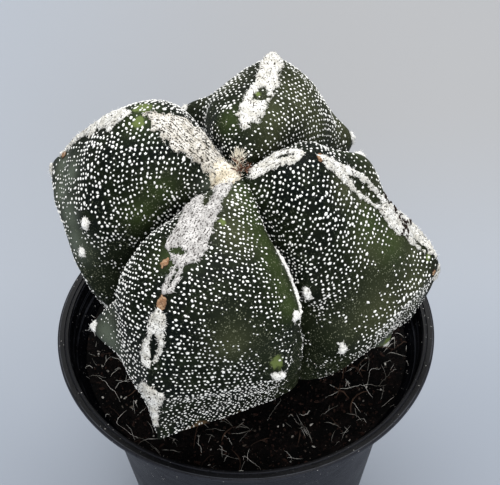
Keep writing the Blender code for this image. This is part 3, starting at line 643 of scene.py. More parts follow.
# %% Wool outlines
# Each station is (step, width). A hole's station is (step, middle, half width).
WOOL = {
    "wool_left_inner": {
        "rib": "left",
        "plus": [(0.55, 0.4), (0.8, 3.0), (1.10, 4.3), (1.46, 4.2), (1.86, 4.2), (2.01, 3.7), (2.08, 3.6),
                 (2.12, 5.6), (2.22, 5.4), (2.36, 4.1), (2.51, 4.5), (2.66, 3.3), (2.80, 4.3), (2.91, 1.3),
                 (3.02, 0.2)],
        "minus": [(0.55, 0.4), (0.8, 2.6), (1.2, 4.6), (1.66, 5.9), (2.06, 6.1), (2.31, 5.4), (2.51, 4.1),
                  (2.76, 2.3), (2.91, 1.2), (3.02, 0.1)],
        "holes": [[(1.28, -2.6, 0.2), (1.45, -2.3, 0.4), (1.58, -2.3, 0.5), (1.70, -3.3, 0.6),
                   (1.80, -4.2, 0.2)]],
        "fray": 1.1,
    },
    "wool_left_outer": {
        "rib": "left",
        "plus": [(3.34, 0.2), (3.42, 1.2), (3.52, 2.2), (3.62, 3.4), (3.72, 4.0), (3.84, 2.6), (4.02, 2.2),
                 (4.12, 0.9), (4.20, 1.6), (4.29, 2.4), (4.42, 1.2), (4.62, 0.8), (4.97, 0.6), (5.30, 0.4)],
        "minus": [(3.34, 0.3), (3.48, 1.9), (3.72, 3.8), (3.90, 3.9), (4.17, 2.4), (4.42, 1.6), (4.80, 1.2),
                  (5.30, 0.5)],
        "holes": [],
        "fray": 0.9,
    },
    "wool_front_upper": {
        "rib": "front",
        "plus": [(0.40, 0.4), (0.6, 1.2), (1.05, 0.9), (1.56, 1.0), (1.91, 1.7), (2.16, 2.1), (2.41, 2.6),
                 (2.56, 3.3), (2.76, 3.8), (2.91, 4.8), (3.06, 4.4), (3.26, 4.7), (3.38, 3.7), (3.45, 2.3),
                 (3.77, 2.2), (3.95, 2.2), (4.10, 1.6), (4.20, 0.2)],
        "minus": [(0.40, 0.4), (0.95, 1.8), (1.21, 2.9), (1.45, 2.7), (1.66, 2.4), (1.72, 7.4), (1.91, 8.4),
                  (2.16, 8.0), (2.41, 6.7), (2.66, 5.4), (2.91, 5.4), (3.06, 5.7), (3.26, 4.7), (3.34, 3.0),
                  (3.44, 1.5), (3.62, 0.5), (3.82, 0.6), (4.02, 1.0), (4.20, 0.2)],
        "holes": [[(1.42, -3.1, 1.1), (1.60, -3.1, 1.1), (1.78, -2.9, 0.95), (1.90, -2.5, 0.85),
                   (2.04, -2.0, 0.55), (2.20, -1.5, 0.1)],
                  [(3.15, -0.6, 1.2), (3.21, -1.1, 2.1), (3.29, -1.6, 1.6)],
                  [(3.60, 1.0, 0.1), (3.74, 0.9, 0.45), (3.92, 0.8, 0.4), (4.04, 0.7, 0.1)]],
        "fray": 0.7,
    },
    "wool_front_middle": {
        "rib": "front",
        "plus": [(4.43, 0.3), (4.52, 1.2), (4.77, 2.5), (5.27, 2.5), (5.42, 1.6), (5.55, 0.4)],
        "minus": [(4.43, 0.3), (4.57, 1.1), (4.82, 2.1), (5.07, 2.1), (5.27, 3.1), (5.42, 4.0), (5.50, 3.4),
                  (5.56, 2.0), (5.62, 0.4)],
        "holes": [[(5.00, -0.1, 0.2), (5.08, -0.1, 1.1), (5.22, 0.0, 1.25), (5.36, 0.1, 0.7),
                   (5.66, 0.3, 0.25)]],
    },
    "wool_front_lower": {
        "rib": "front",
        "plus": [(5.95, 1.0), (6.12, 3.7), (6.32, 3.4), (6.75, 2.0), (7.15, 1.1), (7.6, 0.5), (7.9, 0.1)],
        "minus": [(5.95, 2.6), (6.08, 4.2), (6.25, 4.4), (6.58, 2.7), (7.0, 1.6), (7.5, 0.8), (7.9, 0.2)],
        "holes": [],
    },
    "wool_right_inner": {
        "rib": "right",
        "plus": [(0.60, 0.4), (1.10, 2.2), (1.51, 3.7), (1.86, 3.0), (2.21, 2.0), (2.46, 1.7), (2.62, 0.3)],
        "minus": [(0.60, 2.2), (0.70, 3.2), (0.90, 2.9), (1.26, 2.6), (1.61, 2.8), (1.96, 3.0), (2.26, 3.3),
                  (2.45, 2.0), (2.60, 0.3)],
        "holes": [[(1.60, 0.2, 0.1), (1.78, 0.3, 0.6), (2.05, 0.2, 0.7), (2.28, 0.1, 0.2)]],
    },
    "wool_right_middle": {
        "rib": "right",
        "plus": [(2.98, 0.4), (3.16, 1.3), (3.36, 2.2), (3.62, 3.2), (3.77, 4.0), (3.92, 3.9), (4.07, 3.6),
                 (4.27, 3.6), (4.46, 3.0)],
        "minus": [(2.98, 0.6), (3.11, 1.8), (3.31, 2.2), (3.51, 2.8), (3.72, 2.2), (3.92, 1.9), (4.17, 0.8),
                  (4.46, 0.9)],
        "holes": [[(3.58, 0.6, 0.4), (3.76, 0.9, 1.5), (4.00, 1.0, 1.6), (4.20, 1.2, 1.3), (4.38, 1.5, 0.4)]],
    },
    "wool_right_outer": {
        "rib": "right",
        "plus": [(4.36, 2.2), (4.50, 4.4), (4.82, 6.4), (5.17, 7.0), (5.42, 6.4), (5.62, 5.0), (5.77, 3.0),
                 (5.97, 0.3)],
        "minus": [(4.36, 0.9), (4.52, 2.0), (4.72, 2.1), (4.97, 1.2), (5.27, 1.1), (5.57, 0.5), (5.97, 0.3)],
        "holes": [[(5.02, 0.4, 0.2), (5.20, 0.3, 0.7), (5.45, 0.3, 0.7), (5.62, 0.2, 0.2)]],
    },
    "wool_back_inner": {
        "rib": "back",
        "plus": [(1.70, 0.2), (2.01, 2.1), (2.26, 3.1), (2.41, 2.7), (2.51, 2.2), (2.76, 1.8), (2.96, 1.8),
                 (3.16, 1.1), (3.67, 1.2), (3.97, 1.3), (4.20, 0.8), (4.34, 0.2)],
        "minus": [(1.70, 0.3), (1.98, 1.0), (2.06, 3.4), (2.31, 3.8), (2.46, 4.1), (2.71, 4.0), (2.96, 4.4),
                  (3.16, 4.7), (3.46, 4.3), (3.80, 4.2), (4.10, 3.2), (4.34, 0.6)],
        "holes": [[(2.54, -0.5, 0.3), (2.62, -0.9, 1.5), (2.76, -1.2, 1.8), (2.88, -1.8, 1.4),
                   (2.96, -1.9, 0.3)]],
        "fray": 1.2,
    },
    "wool_back_outer": {
        "rib": "back",
        "plus": [(4.45, 0.3), (4.9, 2.2), (5.4, 2.6), (5.8, 1.6), (6.05, 0.4)],
        "minus": [(4.45, 0.3), (4.8, 2.0), (5.3, 2.5), (5.8, 1.8), (6.05, 0.4)],
        "holes": [],
    },
    "wool_left_corner": {
        "rib": "left",
        "plus": [(5.85, 0.6), (6.1, 2.0), (6.5, 2.4), (6.9, 1.6), (7.25, 0.4)],
        "minus": [(5.85, 0.6), (6.2, 2.2), (6.6, 2.2), (7.25, 0.4)],
        "holes": [],
    },
    "wool_right_corner": {
        "rib": "right",
        "plus": [(6.2, 0.4), (6.6, 1.8), (7.05, 0.4)],
        "minus": [(6.2, 0.4), (6.6, 1.9), (7.05, 0.4)],
        "holes": [],
    },
}
WOOL_CELL = 0.22
WOOL_HEIGHT = 0.75
WOOL_SHOULDER = 0.4
WOOL_SINK = 0.5
WOOL_FRAY = 0.8
BUTTON_FRAY = 0.45
ORDER = [before for before, _, _ in GROOVES]


def neighbours(rib):
    """The next rib round, and the rib before."""
    here = ORDER.index(rib)
    return ORDER[(here + 1) % 4], ORDER[here - 1]


def crest_skin(rib, steps, widths):
    """Skin points and normals for rows of steps and columns of signed widths from the crest."""
    table = np.linspace(0, 0.8, 64)
    points = np.zeros((len(steps), len(widths), 3))
    normals = np.zeros_like(points)
    for other, side in zip(neighbours(rib), (widths >= 0, widths < 0)):
        if not side.any():
            continue
        line = skin(rib, other, steps[:, None], table[None, :])[0]
        length = np.cumsum(np.linalg.norm(np.diff(line, axis=1), axis=2), axis=1)
        length = np.hstack([np.zeros((len(steps), 1)), length])
        shares = np.array([np.interp(np.abs(widths[side]), row, table) for row in length])
        points[:, side], normals[:, side] = skin(rib, other, steps[:, None], shares)
    return points, normals


def lumps_at(points, size, seed):
    """Noise from -1 to 1 at many points, with lumps about `size` millimetres across."""
    flat = (points / size + seed * 7.3).reshape(-1, 3)
    return np.array([noise.noise(Vector(point)) for point in flat]).reshape(points.shape[:-1])


def inside_outline(patch, steps, widths, pitch):
    """Millimetres inside a patch's outline, negative outside. The pitch is millimetres to a step."""
    plus, minus = (np.array(patch[side]) for side in ("plus", "minus"))
    row, width = np.meshgrid(steps, widths, indexing="ij")
    pitch = np.broadcast_to(pitch[:, None], row.shape)
    depth = np.minimum(np.interp(row, *plus.T) - width, width + np.interp(row, *minus.T))
    depth = np.minimum(depth, (row - plus[0, 0]) * pitch + 0.3)
    depth = np.minimum(depth, (plus[-1, 0] - row) * pitch + 0.3)
    for hole in patch["holes"]:
        places = np.array(hole)
        middle = np.interp(row, places[:, 0], places[:, 1])
        half = np.interp(row, places[:, 0], places[:, 2])
        from_ends = np.minimum(row - places[0, 0], places[-1, 0] - row) * pitch
        depth = np.minimum(depth, -np.minimum(half - np.abs(width - middle), from_ends + 0.1))
    return depth


print("wool patches:", len(WOOL))

# %% [markdown]
# The same function turns any grid of skin points into a pad, so it serves the crest patches here and the
# small buttons on the tubercles below. Its border must be closed: each edge of the kept cells that has a
# cell on one side only gets a wall down to the pad's underside.

# %% Pads from grids


def lay_of(surface):
    """Millimetres down and across a grid of points, so that a pattern can follow the grid."""
    middle_row, middle_column = surface.shape[0] // 2, surface.shape[1] // 2
    down = np.linalg.norm(np.diff(surface[:, middle_column], axis=0), axis=1)
    across = np.linalg.norm(np.diff(surface[middle_row], axis=0), axis=1)
    down, across = (np.concatenate([[0], np.cumsum(step)]) for step in (down, across))
    return np.stack([*np.meshgrid(down, across, indexing="ij"), np.zeros(surface.shape[:2])], axis=2)


def pad(name, surface, normals, depth, height, shoulder, seed, fray=WOOL_FRAY):
    """A closed pad over the cells that lie inside an outline. Returns the object and its top points."""
    lumps = 0.8 * lumps_at(surface, 2.4, seed) + 0.8 * lumps_at(surface, 1.1, seed + 1)
    lumps += 0.7 * lumps_at(surface, 0.5, seed + 4)
    frayed = depth + fray * lumps
    inside = np.maximum(frayed, 0)
    rise = height * (1 - np.exp(-inside / shoulder))
    rise *= 1 + 0.35 * lumps_at(surface, 1.6, seed + 2) + 0.40 * lumps_at(surface, 0.6, seed + 3)
    rise = np.where(frayed < 0, np.maximum(frayed * 1.4, -0.9 * WOOL_SINK), rise)
    over = surface + normals * rise[..., None]
    under = surface - normals * WOOL_SINK
    rows, columns = depth.shape
    corner = np.arange(rows * columns).reshape(rows, columns)
    kept = np.maximum.reduce([frayed[:-1, :-1], frayed[1:, :-1], frayed[:-1, 1:], frayed[1:, 1:]]) > -0.12
    # Two kept cells that meet at a corner only would pinch the border, so a cell is added beside them
    for _ in range(6):
        slant = kept[:-1, :-1] & kept[1:, 1:] & ~kept[1:, :-1] & ~kept[:-1, 1:]
        other = ~kept[:-1, :-1] & ~kept[1:, 1:] & kept[1:, :-1] & kept[:-1, 1:]
        kept[1:, :-1] |= slant
        kept[:-1, :-1] |= other
    faces = []
    below = rows * columns
    walls = set()
    for i, j in np.argwhere(kept):
        a, b, c, d = corner[i, j], corner[i + 1, j], corner[i + 1, j + 1], corner[i, j + 1]
        faces.append((a, b, c, d))
        faces.append((below + d, below + c, below + b, below + a))
        for edge in ((a, b), (b, c), (c, d), (d, a)):
            if (edge[1], edge[0]) in walls:
                walls.remove((edge[1], edge[0]))
            else:
                walls.add(edge)
    for first, second in sorted(walls):
        faces.append((second, first, below + first, below + second))
    points = np.vstack([over.reshape(-1, 3), under.reshape(-1, 3)])
    used, numbers = np.unique(np.array([v for face in faces for v in face]), return_inverse=True)
    ends = np.cumsum([len(face) for face in faces])
    trimmed = [tuple(part) for part in np.split(numbers, ends[:-1])]
    piece = make_piece(name, points[used], trimmed)
    give_attribute(piece, "depth", np.concatenate([frayed.ravel(), frayed.ravel()])[used])
    lay = lay_of(surface).reshape(-1, 3) + (11.0 * seed, 0, 0)
    give_attribute(piece, "lay", np.vstack([lay, lay])[used], "FLOAT_VECTOR")
    return piece, over, frayed


def crest_pad(name, patch, seed):
    steps = [station[0] for station in patch["plus"] + patch["minus"]]
    low, high = min(steps), max(steps)
    crest = flank(patch["rib"], neighbours(patch["rib"])[0], np.linspace(low, high, 60), np.array(0.0))
    length = np.linalg.norm(np.diff(crest, axis=0), axis=1).sum()
    rows = int(length / WOOL_CELL) + 2
    margin = 0.8 * (high - low) / length
    steps = np.linspace(low - margin, high + margin, rows)
    widest = [max(station[1] for station in patch[side]) + 0.9 for side in ("minus", "plus")]
    widths = np.arange(-widest[0], widest[1], WOOL_CELL)
    surface, normals = crest_skin(patch["rib"], steps, widths)
    middle = surface[:, np.argmin(np.abs(widths))]
    pitch = np.linalg.norm(np.gradient(middle, axis=0), axis=1) / np.gradient(steps)
    depth = inside_outline(patch, steps, widths, pitch)
    fray = patch.get("fray", WOOL_FRAY)
    piece, over, frayed = pad(name, surface, normals, depth, WOOL_HEIGHT, WOOL_SHOULDER, seed, fray)
    return piece, (over, normals, frayed)


wool_pads = {}
for number, (wool_name, patch) in enumerate(WOOL.items()):
    wool_pads[wool_name] = crest_pad(wool_name + "_felt", patch, 10 * number + 1)
print("pads made:", len(wool_pads))

# %% [markdown]
# ## Wool buttons on the tubercles
#
# Each side tubercle ends in a small oval button of denser wool. It is a pad on a square grid round the
# tubercle's tip, and its depth inside the outline is that of an ellipse.

# %% Tubercle buttons
# For each tubercle: half length down the flank, half width across it, height
BUTTONS = [
    (1.6, 1.25, 0.9), (1.5, 1.25, 0.9), (1.5, 1.3, 0.9), (1.5, 1.3, 0.9),
    (1.8, 1.4, 0.9), (1.1, 1.3, 0.8), (0.9, 1.9, 0.9), (1.9, 0.95, 0.9),
    (1.4, 0.8, 0.8), (1.0, 0.9, 0.6), (1.6, 1.3, 0.9), (1.5, 1.3, 0.9),
    (2.0, 1.1, 0.9), (1.5, 1.3, 0.9), (1.5, 1.3, 0.9), (1.5, 1.3, 0.9),
]
BUTTON_CELL = 0.2


def button(name, tubercle, form, seed):
    rib, other, step, share, _, _ = tubercle
    long, wide, height = form
    little = 0.02
    here = flank(rib, other, np.array(step), np.array(share))
    per_step = np.linalg.norm(flank(rib, other, np.array(step + little), np.array(share)) - here) / little
    per_share = np.linalg.norm(flank(rib, other, np.array(step), np.array(share + little)) - here) / little
    reach = max(long, wide) + 0.8
    offsets = np.arange(-reach, reach, BUTTON_CELL)
    down, across = np.meshgrid(offsets, offsets, indexing="ij")
    if not groove_azimuth(rib, other)[1]:
        across = across[:, ::-1]
    surface, normals = skin(rib, other, step + down / per_step, share + across / per_share)
    distance = np.sqrt((down / long) ** 2 + (across / wide) ** 2)
    depth = (1 - distance) * min(long, wide)
    piece, over, frayed = pad(name, surface, normals, depth, height, 0.4, seed, BUTTON_FRAY)
    return piece, (over, normals, frayed)


button_pads = {}
for number, (tubercle, form) in enumerate(zip(TUBERCLES, BUTTONS), 1):
    button_name = f"wool_tuft_{number:02d}"
    button_pads[button_name] = button(button_name + "_felt", tubercle, form, 200 + 7 * number)
print("buttons made:", len(button_pads))

# %% [markdown]
# ## A strip of wool beside the fold, and scabs
#
# One narrow strip of wool runs down the front rib's right side, just before it turns into the fold. It is
# the same kind of pad, on a grid that follows a path of steps and shares. Scabs are small hard crusts where
# wool has come off: pads too, with an oval outline, at a step and a width from a crest.

# %% Strip and scabs
STRIP = {
    "rib": "front",
    "other": "right",
    "stations": [(2.62, 0.775, 0.1), (2.76, 0.775, 0.5), (3.06, 0.765, 0.8), (3.51, 0.775, 0.9),
                 (3.87, 0.77, 1.0), (4.12, 0.72, 0.9), (4.30, 0.67, 0.7), (4.42, 0.62, 0.3)],
}
# Rib, step, width from the crest, half length, half width, height
SCABS = {
    "scab_front_upper": ("front", 3.56, -2.9, 1.35, 0.85, 0.55),
    "scab_front_middle": ("front", 4.36, 0.2, 2.0, 1.25, 0.7),
    "scab_front_lower": ("front", 6.55, -0.2, 0.7, 0.5, 0.8),
    "scab_left": ("left", 5.17, 1.0, 1.1, 0.7, 0.5),
    "scab_right_upper": ("right", 3.01, -0.4, 0.8, 1.5, 0.5),
    "scab_right_tip": ("right", 6.13, -3.7, 1.1, 0.9, 0.6),
    "scab_back": ("back", 3.25, -1.7, 0.7, 0.6, 0.7),
}


def strip_pad(name, strip, seed):
    stations = np.array(strip["stations"])
    rib, other = strip["rib"], strip["other"]
    route = flank(rib, other, stations[:, 0], stations[:, 1])
    length = np.linalg.norm(np.diff(route, axis=0), axis=1).sum()
    rows = np.linspace(stations[0, 0], stations[-1, 0], int(length / WOOL_CELL) + 2)
    shares = np.interp(rows, stations[:, 0], stations[:, 1])
    little = 0.02
    here = flank(rib, other, rows, shares)
    per_share = np.linalg.norm(flank(rib, other, rows, shares + little) - here, axis=1) / little
    reach = stations[:, 2].max() + 0.8
    widths = np.arange(-reach, reach, WOOL_CELL)
    surface, normals = skin(rib, other, rows[:, None], shares[:, None] + widths[None, :] / per_share[:, None])
    depth = np.interp(rows, stations[:, 0], stations[:, 2])[:, None] - np.abs(widths)[None, :]
    ends = np.minimum(np.arange(len(rows)), np.arange(len(rows))[::-1])[:, None] * WOOL_CELL - 0.3
    piece, over, frayed = pad(name, surface, normals, np.minimum(depth, ends), 0.8, 0.4, seed, BUTTON_FRAY)
    return piece, (over, normals, frayed)


def oval_pad(name, rib, step, width, long, wide, height, seed):
    crest = flank(rib, neighbours(rib)[0], np.array([step - 0.05, step + 0.05]), np.array(0.0))
    pitch = np.linalg.norm(crest[1] - crest[0]) / 0.1
    reach = max(long, wide) + 0.7
    steps = np.arange(-reach, reach, BUTTON_CELL)
    widths = np.arange(width - wide - 0.7, width + wide + 0.7, BUTTON_CELL)
    surface, normals = crest_skin(rib, step + steps / pitch, widths)
    distance = np.hypot(steps[:, None] / long, (widths[None, :] - width) / wide)
    inside = (1 - distance) * min(long, wide)
    piece, over, frayed = pad(name, surface, normals, inside, height, 0.3, seed, BUTTON_FRAY)
    return piece, (over, normals, frayed)


strip_piece, strip_top = strip_pad("wool_strip", STRIP, 401)
scab_pads = {name: oval_pad(name, *form, 410 + k) for k, (name, form) in enumerate(SCABS.items())}
print("scabs:", len(scab_pads))

# %% [markdown]
# ## Wool material
#
# The felt is dull white, a little cream near the crown, with black pepper where dirt has caught between the
# tufts. The pepper is a fine Voronoi pattern that only shows where a broader noise allows it. The dark gaps
# between the strands are painted shade, and a darker band along each pad's edge is a painted shadow.

# %% Wool material


def wool_material(name, light, shade, deep, dark_share, pepper_share):
    """Felt: fibres that run along the patch, dark gaps between them painted as shade, pepper, and a painted
    shadow along the edge.
    """
    material, tree, shader, place = begin_material(name, 1.0, 0.1)
    lay = add_node(tree, "ShaderNodeAttribute", attribute_name="lay").outputs["Vector"]
    combed = add_node(tree, "ShaderNodeMapping", {"Vector": lay, "Scale": (1 / 1.5, 1 / 0.42, 1.0)})
    strands = cloud(tree, combed.outputs["Vector"], 1.0, 4.0)
    grit = cloud(tree, place, 0.42, 3.0)
    colour = paint(tree, band(tree, cloud(tree, place, 2.6), 0.38, 0.66), light, shade)
    colour = paint(tree, band(tree, grit, 0.52, 0.36), colour, shaded(0.72, shade))
    both = combine(tree, "ADD", combine(tree, "MULTIPLY", strands, 0.6), combine(tree, "MULTIPLY", grit, 0.4))
    # Painted shade: the gaps between the strands are darkened
    colour = paint(tree, band(tree, both, 0.31 + dark_share, 0.255 + dark_share), colour, deep)
    pepper = band(tree, cells(tree, place, 0.7), 0.34, 0.16)
    allowed = band(tree, cloud(tree, place, 1.5), 1.0 - pepper_share, 1.06 - pepper_share)
    colour = paint(tree, combine(tree, "MULTIPLY", pepper, allowed), colour, (0.022, 0.018, 0.015))
    # Painted shadow: a darker band along the pad's edge, where the depth inside the outline is small
    edge = combine(tree, "ADD", stored(tree, "depth"), combine(tree, "MULTIPLY", grit, 0.6))
    colour = paint(tree, band(tree, edge, 0.50, 0.25), colour, shaded(0.45, shade))
    tree.links.new(colour, shader.inputs["Base Color"])
    bump(tree, shader, both, 0.5, 0.9)
    return material


# Light, shade, dark gaps (painted shade), share of gaps, share of pepper
FELT_COLOURS = {
    "creamy_felt": ((0.82, 0.79, 0.73), (0.54, 0.50, 0.43), (0.044, 0.038, 0.028), 0.182, 0.46),
    "grey_felt": ((0.67, 0.65, 0.63), (0.43, 0.415, 0.40), (0.090, 0.082, 0.076), 0.170, 0.47),
    "white_felt": ((0.89, 0.88, 0.84), (0.62, 0.60, 0.54), (0.060, 0.052, 0.042), 0.150, 0.45),
    "clean_felt": ((0.97, 0.96, 0.93), (0.80, 0.79, 0.74), (0.200, 0.190, 0.160), 0.110, 0.34),
    "cream_felt": ((0.92, 0.87, 0.76), (0.74, 0.66, 0.51), (0.070, 0.045, 0.028), 0.125, 0.47),
}
FELTS = {"wool_left_inner": "creamy_felt", "wool_front_upper": "grey_felt"}
felts = {name: wool_material(name, *look) for name, look in FELT_COLOURS.items()}


def two_tones(name, roughness, specular, size, first, second):
    """A finish for hairs and spines, which are too thin for a pattern: one tone drifts into another."""
    material, tree, shader, place = begin_material(name, roughness, specular)
    varied = paint(tree, band(tree, cloud(tree, place, size), 0.35, 0.65), first, second)
    tree.links.new(varied, shader.inputs["Base Color"])
    return material


WHITE_HAIR = (0.93, 0.92, 0.88)
CREAM_HAIR = (0.96, 0.90, 0.76)
hair_white = two_tones("white_hairs", 0.9, 0.1, 1.2, WHITE_HAIR, shaded(0.7, WHITE_HAIR))
hair_cream = two_tones("cream_hairs", 0.9, 0.1, 1.2, CREAM_HAIR, shaded(0.7, CREAM_HAIR))
for wool_name, (piece, _) in wool_pads.items():
    piece.data.materials.append(felts[FELTS.get(wool_name, "white_felt")])
    settle(piece, "white_wool", wool_name)
for button_name, (piece, _) in button_pads.items():
    piece.data.materials.append(felts["clean_felt"])
    settle(piece, "white_wool", button_name)
strip_piece.data.materials.append(felts["clean_felt"])
settle(strip_piece, "white_wool")


def scab_material(name, dark, light, pale):
    """Crust with a dark cracked edge, from how deep inside its outline a point lies."""
    material, tree, shader, place = begin_material(name, 0.85, 0.15)
    colour = paint(tree, band(tree, cloud(tree, place, 0.9), 0.35, 0.65), dark, light)
    colour = paint(tree, band(tree, cloud(tree, place, 0.5), 0.58, 0.72), colour, pale)
    colour = paint(tree, band(tree, cloud(tree, place, 0.35), 0.40, 0.28), colour, (0.045, 0.020, 0.012))
    rough = combine(tree, "MULTIPLY", cloud(tree, place, 0.5), 0.5)
    edge = combine(tree, "ADD", stored(tree, "depth"), rough)
    colour = paint(tree, band(tree, edge, 0.50, 0.30), colour, (0.016, 0.009, 0.006))
    tree.links.new(colour, shader.inputs["Base Color"])
    bump(tree, shader, cloud(tree, place, 0.5), 0.3, 0.8)
    return material


tan_crust = scab_material("scab_crust", (0.22, 0.115, 0.060), (0.40, 0.25, 0.145), (0.52, 0.40, 0.30))
dark_crust = scab_material("dark_crust", (0.030, 0.016, 0.012), (0.110, 0.065, 0.048), (0.34, 0.27, 0.22))
DARK_SCABS = ("scab_back",)
for scab_name, (piece, _) in scab_pads.items():
    piece.data.materials.append(dark_crust if scab_name in DARK_SCABS else tan_crust)
    settle(piece, "dried_spine")

# %% [markdown]
# ## The white flecks
#
# Some fifteen thousand flecks dot the skin, a little over a millimetre apart, in rows that are staggered
# like bricks and never quite regular. Rows are laid down each flank at an equal pitch, and flecks along
# each row at an equal spacing, measured on the skin. They are smaller and closer towards the folds and
# round the lower edge, and they are left out in the bare areas and under wool.
#
# The places are only points with attributes: the skin's normal, the direction across the flank, and the
# fleck's size. A Geometry Nodes tree puts one of three small lumps on each point, turned to its normal.

# %% Places for the flecks
FLECK_ROW = 1.28
FLECK_SPACING = 1.38
FLECK_JITTER = 0.33
FLECK_RADIUS = 0.298
FLECK_SEED = 21
FLECK_STEPS = (0.55, 8.9)
# Steps between which the flecks turn into the small close ones below a rib's corner
LOWER_EDGE = (5.8, 7.2)
# How far apart and how large the flecks are on each rib, and how much smaller below its corner
RIB_PITCH = {"left": 0.92, "front": 0.90, "right": 1.0, "back": 1.0}
RIB_SIZE = {"left": 1.02, "front": 0.92, "right": 1.02, "back": 0.88}
LOW_SIZE = {"left": 0.66, "front": 0.80, "right": 0.66, "back": 0.72}
# Spots with nearly a third fewer flecks at their middles, listed as in AREAS
THIN = {
    ("left", "front"): [(3.9, 0.38, 6.0)],
    ("right", "front"): [(3.4, 0.55, 7.0)],
    ("back", "right"): [(1.8, 0.30, 6.0)],
}
TUFT_CLEAR = 1.5


def under_wool():
    """All points of the pads' tops that lie inside their outlines, in one array."""
    tops = [top for made in (wool_pads, button_pads, scab_pads) for _, top in made.values()]
    return np.vstack([over[frayed > -0.3] for over, _, frayed in tops + [strip_top]])


def below_corner(steps):
    """0 above a rib's corner, 1 well below it and a blend between them."""
    return np.clip((steps - LOWER_EDGE[0]) / (LOWER_EDGE[1] - LOWER_EDGE[0]), 0, 1)


def fleck_places(rib, other, rng):
    """Steps and shares of one flank's flecks, on a jittered lattice."""
    fine = np.linspace(*FLECK_STEPS, 700)
    middle = flank(rib, other, fine, np.array(0.42))
    travel = np.linalg.norm(np.diff(middle, axis=0), axis=1)
    closeness = (1.0 + 0.12 * below_corner(fine[1:])) / RIB_PITCH[rib]
    count = np.concatenate([[0], np.cumsum(travel * closeness / FLECK_ROW)])
    rows = np.interp(np.arange(0.5, count[-1], 1.0), count, fine)
    table = np.linspace(0.015, 0.97, 180)
    found = []
    for number, row in enumerate(rows):
        line = flank(rib, other, np.full(table.shape, row), table)
        travel = np.linalg.norm(np.diff(line, axis=0), axis=1)
        closeness = 1.0 + 0.35 * np.clip((table[1:] - 0.6) / 0.3, 0, 1) + 0.08 * below_corner(row)
        closeness = closeness / RIB_PITCH[rib]
        count = np.concatenate([[0], np.cumsum(travel * closeness / FLECK_SPACING)])
        shares = np.interp(np.arange(0.25 + 0.5 * (number % 2), count[-1], 1.0), count, table)
        jitter_row = rng.uniform(-1, 1, len(shares)) * FLECK_JITTER
        jitter_share = rng.uniform(-1, 1, len(shares)) * FLECK_JITTER
        per_row = np.gradient(rows)[number] / FLECK_ROW
        per_share = (table[-1] - table[0]) / max(travel.sum(), 1.0)
        found.append(np.stack([row + jitter_row * per_row, shares + jitter_share * per_share], axis=1))
    return np.vstack(found)


def fleck_points(rib, other, rng, tree_of_wool):
    places = fleck_places(rib, other, rng)
    steps, shares = places[:, 0], np.clip(places[:, 1], 0.01, 0.98)
    points, normals = skin(rib, other, steps, shares)
    across = skin(rib, other, steps, np.clip(shares + 0.01, 0, 1))[0] - points
    across += 0.45 * np.linalg.norm(across, axis=1, keepdims=True) * rng.normal(size=points.shape)
    size = FLECK_RADIUS * np.exp(rng.normal(0, 0.22, len(points)))
    size *= 1 - 0.28 * np.clip((shares - 0.62) / 0.25, 0, 1)
    size *= np.clip(0.62 + 0.3 * steps, 0, 1)
    size *= RIB_SIZE[rib] * (1 - (1 - LOW_SIZE[rib]) * below_corner(steps))
    bare = nearness(points, AREAS["bare"])
    grey_and_sheen = nearness(points, AREAS["grey_and_sheen"])
    size *= (1 - 0.35 * bare) * (1 - 0.45 * grey_and_sheen)
    thinned = 0.08 + 1.3 * np.clip(bare - 0.25, 0, 1) + 0.30 * nearness(points, THIN) + 0.5 * grey_and_sheen
    keep = rng.uniform(size=len(points)) > thinned
    for name, facing, step, share, _, radius in TUBERCLES:
        if (name, facing) == (rib, other):
            tip = spot(rib, other, step, share)
            keep &= np.linalg.norm(points - tip, axis=1) > 0.55 * radius + TUFT_CLEAR
    keep &= np.array([tree_of_wool.find(Vector(point))[2] > 0.65 for point in points])
    sizes = np.stack([size * rng.uniform(1.05, 1.75, len(points)), 0.95 * size, 0.9 * size], axis=1)
    return points[keep], normals[keep], across[keep], sizes[keep]


wool_points = under_wool()
wool_tree = KDTree(len(wool_points))
for number, point in enumerate(wool_points):
    wool_tree.insert(point, number)
wool_tree.balance()
fleck_rng = np.random.default_rng(FLECK_SEED)
flecks = {}
for rib in ORDER:
    found = [fleck_points(rib, other, fleck_rng, wool_tree) for other in neighbours(rib)]
    flecks[rib] = [np.vstack(parts) for parts in zip(*found)]
print("flecks:", {rib: len(found[0]) for rib, found in flecks.items()})

# %% The flecks' lumps and the tree that places them
FLECK_SIDES = 5


def make_lump(name, rings, top, bottom):
    """An object that a tree scatters, from rings of points and a pole at each end."""
    points, faces = close_sleeve(np.array(rings), top, bottom)
    mesh = bpy.data.meshes.new(name)
    mesh.from_pydata(points.tolist(), [], faces)
    return bpy.data.objects.new(name, mesh)


def fleck_lump(name, seed):
    """A low cushion one unit in radius with an uneven outline. Its foot is sunk under the skin."""
    rng = random.Random(seed)
    rings = []
    for radius, height in ((0.78, 0.50), (1.0, -0.35)):
        ring = []
        for i in range(FLECK_SIDES):
            turn = math.tau * i / FLECK_SIDES
            uneven = radius * rng.uniform(0.70, 1.30)
            ring.append((uneven * math.cos(turn), uneven * math.sin(turn), height))
        rings.append(ring)
    lump = make_lump(name, rings, (0, 0, 0.75), (0, 0, -0.45))
    lump.data.shade_smooth()
    return lump


def put_lumps(tree, points, lumps, seed, rotation, scale):
    """Nodes that put one of some lumps on each point, picked at random. Returns the instances."""
    join = add_node(tree, "GeometryNodeJoinGeometry")
    for lump in reversed(lumps):
        form = add_node(tree, "GeometryNodeObjectInfo", {"Object": lump, "As Instance": True})
        tree.links.new(form.outputs["Geometry"], join.inputs[0])
    pick = add_node(tree, "FunctionNodeRandomValue", {"Seed": seed, 4: 0, 5: len(lumps) - 1}, data_type="INT")
    placed = add_node(tree, "GeometryNodeInstanceOnPoints",
                      {"Points": points, "Instance": join.outputs[0], "Pick Instance": True,
                       "Instance Index": pick.outputs[2], "Rotation": rotation, "Scale": scale})
    return placed.outputs["Instances"]


